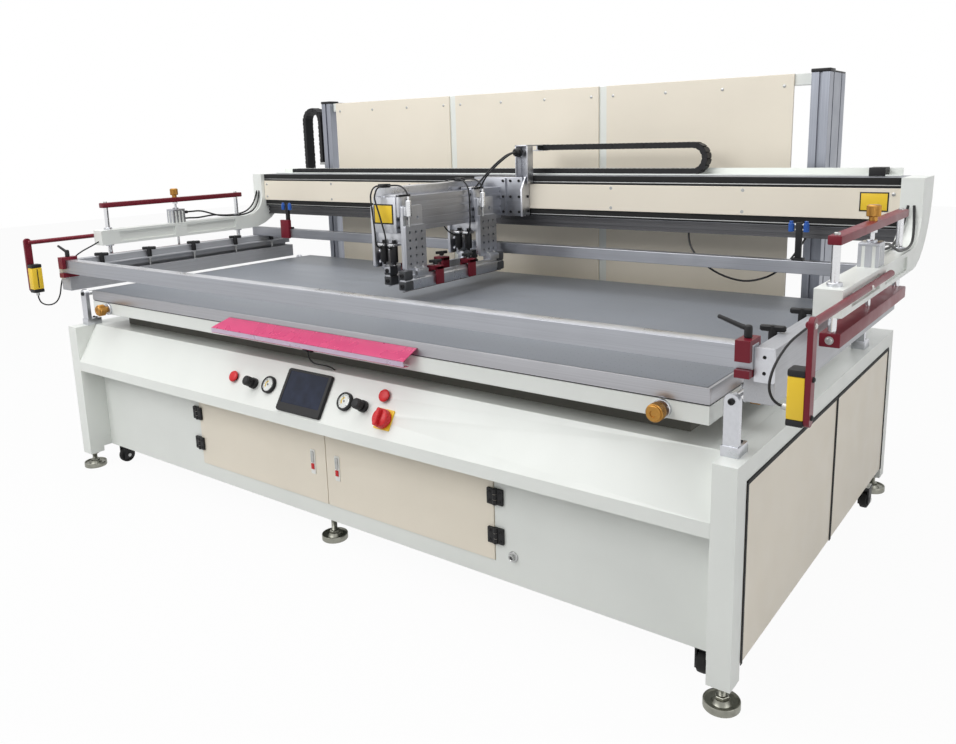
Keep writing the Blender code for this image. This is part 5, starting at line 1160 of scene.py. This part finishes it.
# Air hoses from the valves, as places across, behind the head's front, and up.
# Those of the rear head go round the sides of the boom.
HEAD_HOSES = {
    "head_front": {"left": front_hose(-0.060, -0.046), "right": front_hose(-0.040, 0.002)},
    "head_rear": {
        "left": (
            (-0.06, 0.01, 1.199), (-0.061, -0.008, 1.2), (-0.068, -0.026, 1.199),
            (-0.08, -0.038, 1.189), (-0.09, -0.042, 1.17), (-0.094, -0.042, 1.145),
            (-0.094, -0.04, 1.1), (-0.094, -0.038, 1.048), (-0.088, -0.033, 1.015),
            (-0.07, -0.022, 0.991), (-0.046, -0.01, 0.98),
        ),
        "right": (
            (-0.04, 0.01, 1.199), (-0.039, -0.008, 1.2), (-0.03, -0.026, 1.203),
            (-0.01, -0.037, 1.205), (0.014, -0.04, 1.2), (0.034, -0.04, 1.183),
            (0.044, -0.039, 1.156), (0.046, -0.038, 1.1), (0.045, -0.037, 1.045),
            (0.037, -0.031, 1.014), (0.021, -0.021, 0.992), (0.002, -0.01, 0.98),
        ),
    },
}
TOP_HOSE = (
    (-0.038, 0.026, 1.199), (-0.015, 0.026, 1.2005), (0.012, 0.024, 1.201), (0.034, 0.022, 1.1975),
    (0.052, 0.02, 1.187), (0.063, 0.02, 1.172), (0.066, 0.02, 1.156),
)
HEAD_HOSE, HEAD_FACES, HEAD_HIGH, HEAD_Z = 0.006, (-0.1003, 0.0423), 0.225, 1.0175
HEAD_HOLES = circles(0.006, 12, (-0.026, 0.026), (-0.092, -0.052, -0.012, 0.028, 0.068))
CYLINDER_XS, CYLINDER_BACK = (-0.046, 0.002), 0.004
HEAD_CYLINDER = (
    (0.0, 0.0), (0.006, 0.0), (0.006, 0.008), (0.013, 0.009), (0.014, 0.011), (0.014, 0.076),
    (0.013, 0.078), (0.006, 0.079), (0.006, 0.088), (0.0, 0.088),
)
SIDE_CYLINDER = (
    (0.0, 0.05), (0.0055, 0.05), (0.0055, 0.0), (0.0095, 0.0), (0.0105, 0.0012), (0.0105, 0.0548),
    (0.0095, 0.056), (0.0045, 0.056), (0.0045, 0.07), (0.0, 0.07),
)
SIDE_CYLINDER_X, SIDE_CYLINDER_BACK = 0.066, 0.020
plates, darks, tubes, brights = (Shape() for _ in range(4))
for node, (front, rear) in HEADS.items():
    plate = rounded(rear - front, HEAD_HIGH, 0.006)
    for x in HEAD_FACES:
        place = seat(x, (front + rear) / 2.0, HEAD_Z, ACROSS)
        plates.prism(plate, place, 0.0, 0.012, 0.001, HEAD_HOLES)
    inset, angle_backs = (front + 0.01, rear - 0.01), (front - 0.006, front + 0.06)
    for x in ((-0.0885, -0.0762), (0.0302, 0.0425)):
        plates.slab(x, inset, (1.04, 1.125), 0.0015)
    plates.slab((-0.0885, 0.0425), inset, (0.996, 1.0345), 0.002)
    plates.slab((0.0303, 0.0423), angle_backs, (1.092, 1.17), 0.0015)
    plates.slab((-0.02, 0.0423), angle_backs, (1.1612, 1.17), 0.0015)
    for x in CYLINDER_XS:
        tubes.lathe(seat(x, front + CYLINDER_BACK, 0.92), HEAD_CYLINDER, 24)
        ends = [at(x, front + CYLINDER_BACK, z) for z in (0.9168, 0.921)]
        brights.rod(*ends, 0.004, 0.0005, 16)
        brights.slab(around(x, 0.016), (front - 0.012, front + 0.022), (0.988, 0.9965), 0.0012)
    brights.lathe(seat(SIDE_CYLINDER_X, front + SIDE_CYLINDER_BACK, 1.094), SIDE_CYLINDER, 24)
    brights.slab((0.0541, 0.059), (front + 0.006, front + 0.034), (1.096, 1.128), 0.0012)
    darks.slab((-0.066, -0.036), (front + 0.008, front + 0.044), (1.1926, 1.206), 0.0025)
    for z in (1.115, 1.15):
        darks.socket_screw(at(HEAD_FACES[1], front + 0.04, z), ACROSS)
    for place, route in {**HEAD_HOSES[node], "top": TOP_HOSE}.items():
        hanging_cord(f"{node}_hose_{place}", route, HEAD_HOSE, "carriage", front=front)
plates.make("head_plates", ALU_BRIGHT, "carriage", list(HEADS))
darks.make("head_valves", BLACK, "carriage")
tubes.make("head_cylinders", BLACK, "carriage")
brights.make("head_rods", CHROME, "carriage")

# Squeegee holder and flood bar, each hung from sliding plates on the heads.
BAR_LOW, LUG_LENGTH, HANGER_LOW, HANGER_BACKS = 0.836, 0.040, 0.900, (0.5225, 0.9575)
# Middle, half width, front and rear, and the faces of the hangers.
BARS = {
    "squeegee": (0.0766, 0.014, 0.43, 1.02, (0.0548, 0.0668)),
    "flood_bar": (-0.054, 0.011, 0.495, 1.02, (-0.0758, -0.0658)),
}
BLADES = {"squeegee": (0.004, BLADE), "flood_bar": (0.002, CHROME)}
# Width, top and holes of the hangers.
HANGERS = {
    "squeegee": (0.108, 1.061, circles(0.005, 12, (-0.032, 0.0, 0.032), (-0.056, -0.028, 0.0, 0.028, 0.056))),
    "flood_bar": (0.06, 0.9575, circles(0.004, 12, (-0.016, 0.016), (-0.014, 0.014))),
}
PIVOTS = ((0.838, 0.871, 0.0175), (0.875, 0.908, 0.016))
BAR_CLAMPS, CLAMP_HALF, CLAMP_GAP, CLAMP_Z = (0.612, 0.806), 0.024, 0.0004, (0.839, 0.904)
BAR_TOP, BAR_WING = 0.910, ((0.0, 0.0), (0.009, 0.0), (0.0095, 0.01), (0.007, 0.016), (0.0, 0.017))
for node, (x, half, front, rear, (inner, outer)) in BARS.items():
    section = [(-half, 0.012), (-half * 0.55, 0.0), (half * 0.55, 0.0), (half, 0.012), (half, 0.036)]
    section += [(half * 0.7, 0.041), (half * 0.7, 0.049), (-half * 0.7, 0.049), (-half * 0.7, 0.041)]
    section.append((-half, 0.036))
    bar = Shape().prism(section, seat(x, rear, BAR_LOW, FORWARD), 0.0, rear - front, 0.0008)
    bar.make(f"{node}_holder", ALU_BRIGHT, node, [node])
    blade_half, blade_material = BLADES[node]
    blade_z = BAR_LOW - 0.003, BAR_LOW + 0.004
    blade = Shape().slab(around(x, blade_half), (front + 0.002, rear - 0.002), blade_z, 0.0008)
    blade.make(f"{node}_blade", blade_material, node)
    hang, pivots, joints, clamps, wings, pins = (Shape() for _ in range(6))
    hanger_wide, top, holes = HANGERS[node]
    for middle in HANGER_BACKS:
        place = seat(inner, middle, (top + HANGER_LOW) / 2.0, ACROSS)
        outline = rounded(hanger_wide, top - HANGER_LOW, 0.004)
        hang.prism(outline, place, 0.0, outer - inner, 0.001, holes)
        hang.slab(around(x, half + 0.004), around(middle, 0.03), (0.884, 0.906), 0.0025)
        hang.slab((inner, x + half), around(middle, 0.026), (0.898, BAR_TOP), 0.002)
        for back in around(middle, 0.02):
            pins.socket_screw(at(x, back, BAR_TOP), UP)
        if node == "squeegee":
            ends = [at(SIDE_CYLINDER_X, middle - 0.0325, z) for z in (1.056, 1.108)]
            pins.rod(*ends, 0.004, 0.0005, 16)
    for lug, outward in ((front, -1.0), (rear, 1.0)):
        near, far = sorted((lug + outward * 0.002, lug - outward * LUG_LENGTH))
        for low, high, pivot_half in PIVOTS:
            pivots.slab(around(x, pivot_half), (near, far), (low, high), 0.005)
            face = at(x, lug + outward * 0.0018, (low + high) / 2.0)
            joints.socket_screw(face, outward * BACKWARD, 0.0085)
        pivots.slab(around(x, 0.012), (near + 0.003, far - 0.003), (0.86, 0.886), 0.002)
    for middle in BAR_CLAMPS:
        backs = around(middle, 0.02)
        clamps.slab((x - CLAMP_HALF, x - half - CLAMP_GAP), backs, CLAMP_Z, 0.002)
        clamps.slab((x + half + CLAMP_GAP, x + CLAMP_HALF), backs, CLAMP_Z, 0.002)
        clamps.slab(around(x, CLAMP_HALF), backs, (0.891, 0.906), 0.002)
        pins.rod(at(x, middle, 0.884), at(x, middle, 0.916), 0.0045, 0.0005, 16)
        wings.lathe(seat(x, middle, BAR_TOP), BAR_WING, 20)
        place = frame_at(at(x, middle, BAR_TOP), UP, (0.5, 1.0, 0.0))
        wings.prism(rounded(0.05, 0.012, 0.0058), place, 0.006, 0.017, 0.0018)
    for shape, name, material in (
        (hang, "hangers", ALU_Z), (pivots, "pivots", DARK_GREY), (joints, "pivot_bolts", BLACK),
        (clamps, "clamps", MAROON), (wings, "wing_knobs", BLACK), (pins, "screws", ZINC),
    ):
        shape.make(f"{node}_{name}", material, node)

# Drag chain.

CHAIN_BACK, CHAIN_HALF, CHAIN_PITCH = 1.245, 0.0215, 0.0200
LINK_HALF = CHAIN_PITCH * 0.56
LINK = rounded(2 * LINK_HALF, 0.0218, 0.007, 3)
LINK_THICK, LINK_INSET, LINK_STEP = 0.003, 0.0032, 0.0012
STAY_REACH, STAY_HALF, STAY_LIFT, STAY_INSET = LINK_HALF * 0.93, 0.0011, 0.0095, 0.003


def chain(points, wide=CHAIN_HALF):
    """Links of a drag chain along a line of points."""
    shape, lengths = Shape(), [0.0]
    for a, b in zip(points, points[1:]):
        lengths.append(lengths[-1] + (b - a).length)
    count = max(1, round(lengths[-1] / CHAIN_PITCH))
    for number in range(count):
        spot = lengths[-1] * (number + 0.5) / count
        i = max(j for j in range(len(points) - 1) if lengths[j] <= spot + 1e-9)
        share = (spot - lengths[i]) / (lengths[i + 1] - lengths[i])
        along = (points[i + 1] - points[i]).normalized()
        place = frame_at(points[i].lerp(points[i + 1], share), BACKWARD, along)
        inner = wide - LINK_INSET - (LINK_STEP if number % 2 else 0.0)
        for side, sign in SIDES:
            low, high = sorted((sign * inner, sign * (inner + LINK_THICK)))
            shape.prism(LINK, place, low, high, 0.0)
        for lift in (-STAY_LIFT, STAY_LIFT):
            corner = Vector((STAY_REACH, STAY_HALF, wide - STAY_INSET))
            middle = Vector((0.0, lift, 0.0))
            shape.box(middle - corner, middle + corner, 0.0004, place, 1)
    return shape


LOOP_X, LOOP_Z, LOOP_RADIUS, LOWER_START, LOWER_END, UPPER_END = 0.800, 1.2653, 0.048, -1.380, 0.620, 0.740
HALF_TURN = [math.pi * i / 16.0 for i in range(17)]


def lower_at(x):
    return at(x, CHAIN_BACK, LOOP_Z - LOOP_RADIUS)


def upper_at(x):
    return at(x, CHAIN_BACK, LOOP_Z + LOOP_RADIUS)


bend = [(LOOP_RADIUS * math.sin(turn), LOOP_RADIUS * math.cos(turn)) for turn in HALF_TURN]
arc = [at(LOOP_X + across, CHAIN_BACK, LOOP_Z - drop) for across, drop in bend]
loop = chain([lower_at(LOWER_END), *arc, upper_at(UPPER_END)])
loop.make("chain_bend", BLACK, "chain_loop", ["chain_loop"])
lower = chain([lower_at(LOWER_START), lower_at(LOWER_END)]).make("chain_lower_run", BLACK, None)
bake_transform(lower)
# The upper run is built in pieces from the bend to the mast, placed by their
# shares of the travel, from half of it at the bend to nearly all at the mast.
MAST_END = 0.130
SHARES = (0.50, 0.60, 0.70, 0.80, 0.88, 0.96)


def inverse_smooth(weight):
    return 0.5 - math.sin(math.asin(1.0 - 2.0 * weight) / 3.0)


for number, shares in enumerate(zip(SHARES, SHARES[1:])):
    travelled = [(share - SHARES[0]) / (SHARES[-1] - SHARES[0]) for share in shares]
    ends = [UPPER_END + (MAST_END - UPPER_END) * part for part in travelled]
    turns = [inverse_smooth(share) for share in shares]
    step = (ends[1] - ends[0]) / (turns[1] - turns[0])
    start = ends[0] - turns[0] * step
    run = chain([upper_at(ends[1]), upper_at(ends[0])])
    upper = run.make(f"chain_upper_run_{number + 1}", BLACK, None)
    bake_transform(upper)

# Lift chain: from the end of the beam up, over and down beside the left column.
LIFT_CHAIN_X, LIFT_CHAIN_HALF, LIFT_CHAIN_BACK, LIFT_CHAIN_BEND = -1.420, 0.027, 1.385, 0.0575
LIFT_CHAIN_LOW, LIFT_CHAIN_HIGH, LIFT_CHAIN_FIXED = 1.206, 1.465, 1.256
LIFT_CHAIN_INNER = LIFT_CHAIN_X + 2.0 * LIFT_CHAIN_BEND


def lift_chain(name, points):
    """A run of the lift chain along the given points, across and height."""
    line = [at(across, LIFT_CHAIN_BACK, z) for across, z in points]
    made = chain(line, LIFT_CHAIN_HALF).make(name, BLACK, None)
    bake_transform(made)


outer_run = [(LIFT_CHAIN_X, LIFT_CHAIN_LOW), (LIFT_CHAIN_X, LIFT_CHAIN_HIGH)]
lift_chain("lift_chain_outer", outer_run)
lift_bend = [(1.0 - math.cos(turn), math.sin(turn)) for turn in HALF_TURN]
lift_arc = [(LIFT_CHAIN_X + LIFT_CHAIN_BEND * x, LIFT_CHAIN_HIGH + LIFT_CHAIN_BEND * z) for x, z in lift_bend]
lift_chain("lift_chain_bend", lift_arc)
inner_run = [(LIFT_CHAIN_INNER, LIFT_CHAIN_FIXED), (LIFT_CHAIN_INNER, LIFT_CHAIN_HIGH)]
lift_chain("lift_chain_inner", inner_run)
bracket_backs = around(LIFT_CHAIN_BACK, 0.026)
bracket = Shape().slab((LIFT_CHAIN_INNER - 0.014, -1.2792), bracket_backs, (1.244, 1.256), 0.0015)
bracket.slab((-1.284, -1.2792), bracket_backs, (1.216, 1.256), 0.0015)
bracket.make("lift_chain_bracket", ZINC, "base")
foot_x = around(LIFT_CHAIN_X, 0.026)
foot = Shape().slab(foot_x, (1.2898, LIFT_CHAIN_BACK + 0.027), (1.196, 1.204), 0.0015)
foot.slab(foot_x, (1.2898, 1.297), (1.15, 1.204), 0.0015)
foot.make("lift_chain_foot", ZINC, "beam")

# Strip on the table. Each line is given by its two ends, back and height.

STRIP_THICK = 0.0022
STRIP_TOP = (-0.428, 0.452, TABLE_FRONT - 0.0008, 0.756)
STRIP_FOLD = (-0.476, 0.436, 0.024, 0.723)
STRIP_EDGE = (-0.476, 0.436, 0.0255, 0.708)
STRIP_BACK = (-0.440, 0.420, 0.064, 0.699)


def folded_sheet(name, material, upper, lower):
    """Flat sheet between two lines."""
    start, end = at(0.0, *upper[2:]), at(0.0, *lower[2:])
    down = end - start
    outline = [(upper[0], 0.0), (upper[1], 0.0), (lower[1], down.length), (lower[0], down.length)]
    place = frame_at(start, ACROSS.cross(down))
    Shape().prism(outline, place, -STRIP_THICK, 0.0, 0.0003).make(name, material, "table_top")


folded_sheet("table_guard_strip", PINK, STRIP_TOP, STRIP_FOLD)
folded_sheet("table_guard_edge", LILAC, STRIP_FOLD, STRIP_EDGE)
folded_sheet("table_guard_flap", PINK, STRIP_EDGE, STRIP_BACK)
probe = Shape().slab((-0.04, 0.0), (0.056, 0.07), (0.686, 0.698), 0.002)
probe.slab((-0.03, -0.01), (0.05, 0.058), (0.688, 0.696), 0.0015)
probe.make("table_sensor", BLACK, "table_frame")
PROBE_LEAD = (
    (-0.02, 0.063, 0.6862), (-0.0195, 0.063, 0.674), (-0.013, 0.065, 0.658), (0.002, 0.07, 0.648),
    (0.022, 0.078, 0.644), (0.04, 0.088, 0.64), (0.051, 0.098, 0.633), (0.056, 0.106, 0.6244),
)
hanging_cord("table_sensor_lead", PROBE_LEAD, 0.0045, "table_frame")

# Stage and camera.

FLOOR_HALF, FLOOR_THICK, FLOOR_COLOUR, FLOOR_GLOW, AMBIENT = 14.0, 0.02, (0.60, 0.60, 0.60), 0.96, 0.24


def seen_rays(tree):
    """One for rays of the camera, of reflections and of see-through pieces, else nought."""
    path = add_node(tree, "ShaderNodeLightPath", {}, {})
    seen = path.outputs["Is Camera Ray"]
    for kind in ("Is Glossy Ray", "Is Transmission Ray"):
        either = add_node(tree, "ShaderNodeMath", {}, {0: seen, 1: path.outputs[kind]}, "MAXIMUM")
        seen = either.outputs["Value"]
    return seen


def stage_material(name, colour, glow):
    """Pale floor: part lit by the lamps, part plain white where it is seen."""
    made = bpy.data.materials.new(name)
    made.use_nodes = True
    tree = made.node_tree
    tree.nodes.clear()
    matt = add_node(tree, "ShaderNodeBsdfDiffuse", {"Color": (*colour, 1.0)}, {})
    light = add_node(tree, "ShaderNodeEmission", {"Strength": 1.0}, {})
    share = add_node(tree, "ShaderNodeMath", {1: glow}, {0: seen_rays(tree)}, "MULTIPLY")
    sources = {0: share.outputs["Value"], 1: matt.outputs["BSDF"], 2: light.outputs["Emission"]}
    mix = add_node(tree, "ShaderNodeMixShader", {}, sources)
    add_node(tree, "ShaderNodeOutputMaterial", {}, {"Surface": mix.outputs["Shader"]})
    return made


floor_shape = Shape().box((-FLOOR_HALF, -FLOOR_HALF, -FLOOR_THICK), (FLOOR_HALF, FLOOR_HALF, 0.0), 0.001)
floor = floor_shape.make("floor", stage_material("pale_floor", FLOOR_COLOUR, FLOOR_GLOW), None)

world = bpy.data.worlds.new("studio")
bpy.context.scene.world = world
world.use_nodes = True
sky = world.node_tree
sky.nodes.clear()
level = add_node(sky, "ShaderNodeMapRange", {"To Min": AMBIENT, "To Max": 1.0}, {"Value": seen_rays(sky)})
sky_values, sky_links = {"Color": (1.0, 1.0, 1.0, 1.0)}, {"Strength": level.outputs["Result"]}
sky_light = add_node(sky, "ShaderNodeBackground", sky_values, sky_links)
add_node(sky, "ShaderNodeOutputWorld", {}, {"Surface": sky_light.outputs["Background"]})


def lamp(name, place, target, size, power):
    data = bpy.data.lights.new(name, "AREA")
    data.shape = "RECTANGLE"
    data.size, data.size_y = size
    data.energy = power
    made = bpy.data.objects.new(name, data)
    made.matrix_world = frame_at(place, Vector(place) - Vector(target))
    bpy.context.scene.collection.objects.link(made)


lamp("overhead", (-0.4, -0.6, 4.6), (0.0, 0.0, 0.8), (5.0, 4.0), 160.0)
lamp("front", (-1.6, -4.6, 4.2), (0.0, 0.4, 0.9), (4.0, 3.0), 162.0)
lamp("side", (5.2, -1.0, 2.4), (0.0, 0.0, 0.8), (3.0, 3.0), 49.0)

# The camera stands to the right of the front, a little above the beam.
CAMERA_PLACE = (2.060, -1.738, 1.355)
CAMERA_YAW, CAMERA_PITCH, CAMERA_ROLL = (math.radians(angle) for angle in (36.84, 11.5536, -1.5067))
camera_data = bpy.data.cameras.new("camera")
camera_data.sensor_width = 36.0
camera_data.lens = 31.81
camera_data.shift_x, camera_data.shift_y = -0.0077, -0.0634
camera_data.clip_end = 60.0
camera = bpy.data.objects.new("camera", camera_data)
bpy.context.scene.collection.objects.link(camera)
right = Vector((math.cos(CAMERA_YAW), math.sin(CAMERA_YAW), 0.0))
level_forward = Vector((-math.sin(CAMERA_YAW), math.cos(CAMERA_YAW), 0.0))
forward = math.cos(CAMERA_PITCH) * level_forward - math.sin(CAMERA_PITCH) * UP
above = right.cross(forward)
rolled_right = math.cos(CAMERA_ROLL) * right + math.sin(CAMERA_ROLL) * above
rolled_above = math.cos(CAMERA_ROLL) * above - math.sin(CAMERA_ROLL) * right
camera_turn = Matrix((rolled_right, rolled_above, -forward)).transposed().to_4x4()
camera.matrix_world = Matrix.Translation(at(*CAMERA_PLACE)) @ camera_turn
bpy.context.scene.camera = camera
bpy.context.scene.view_settings.view_transform = "Standard"
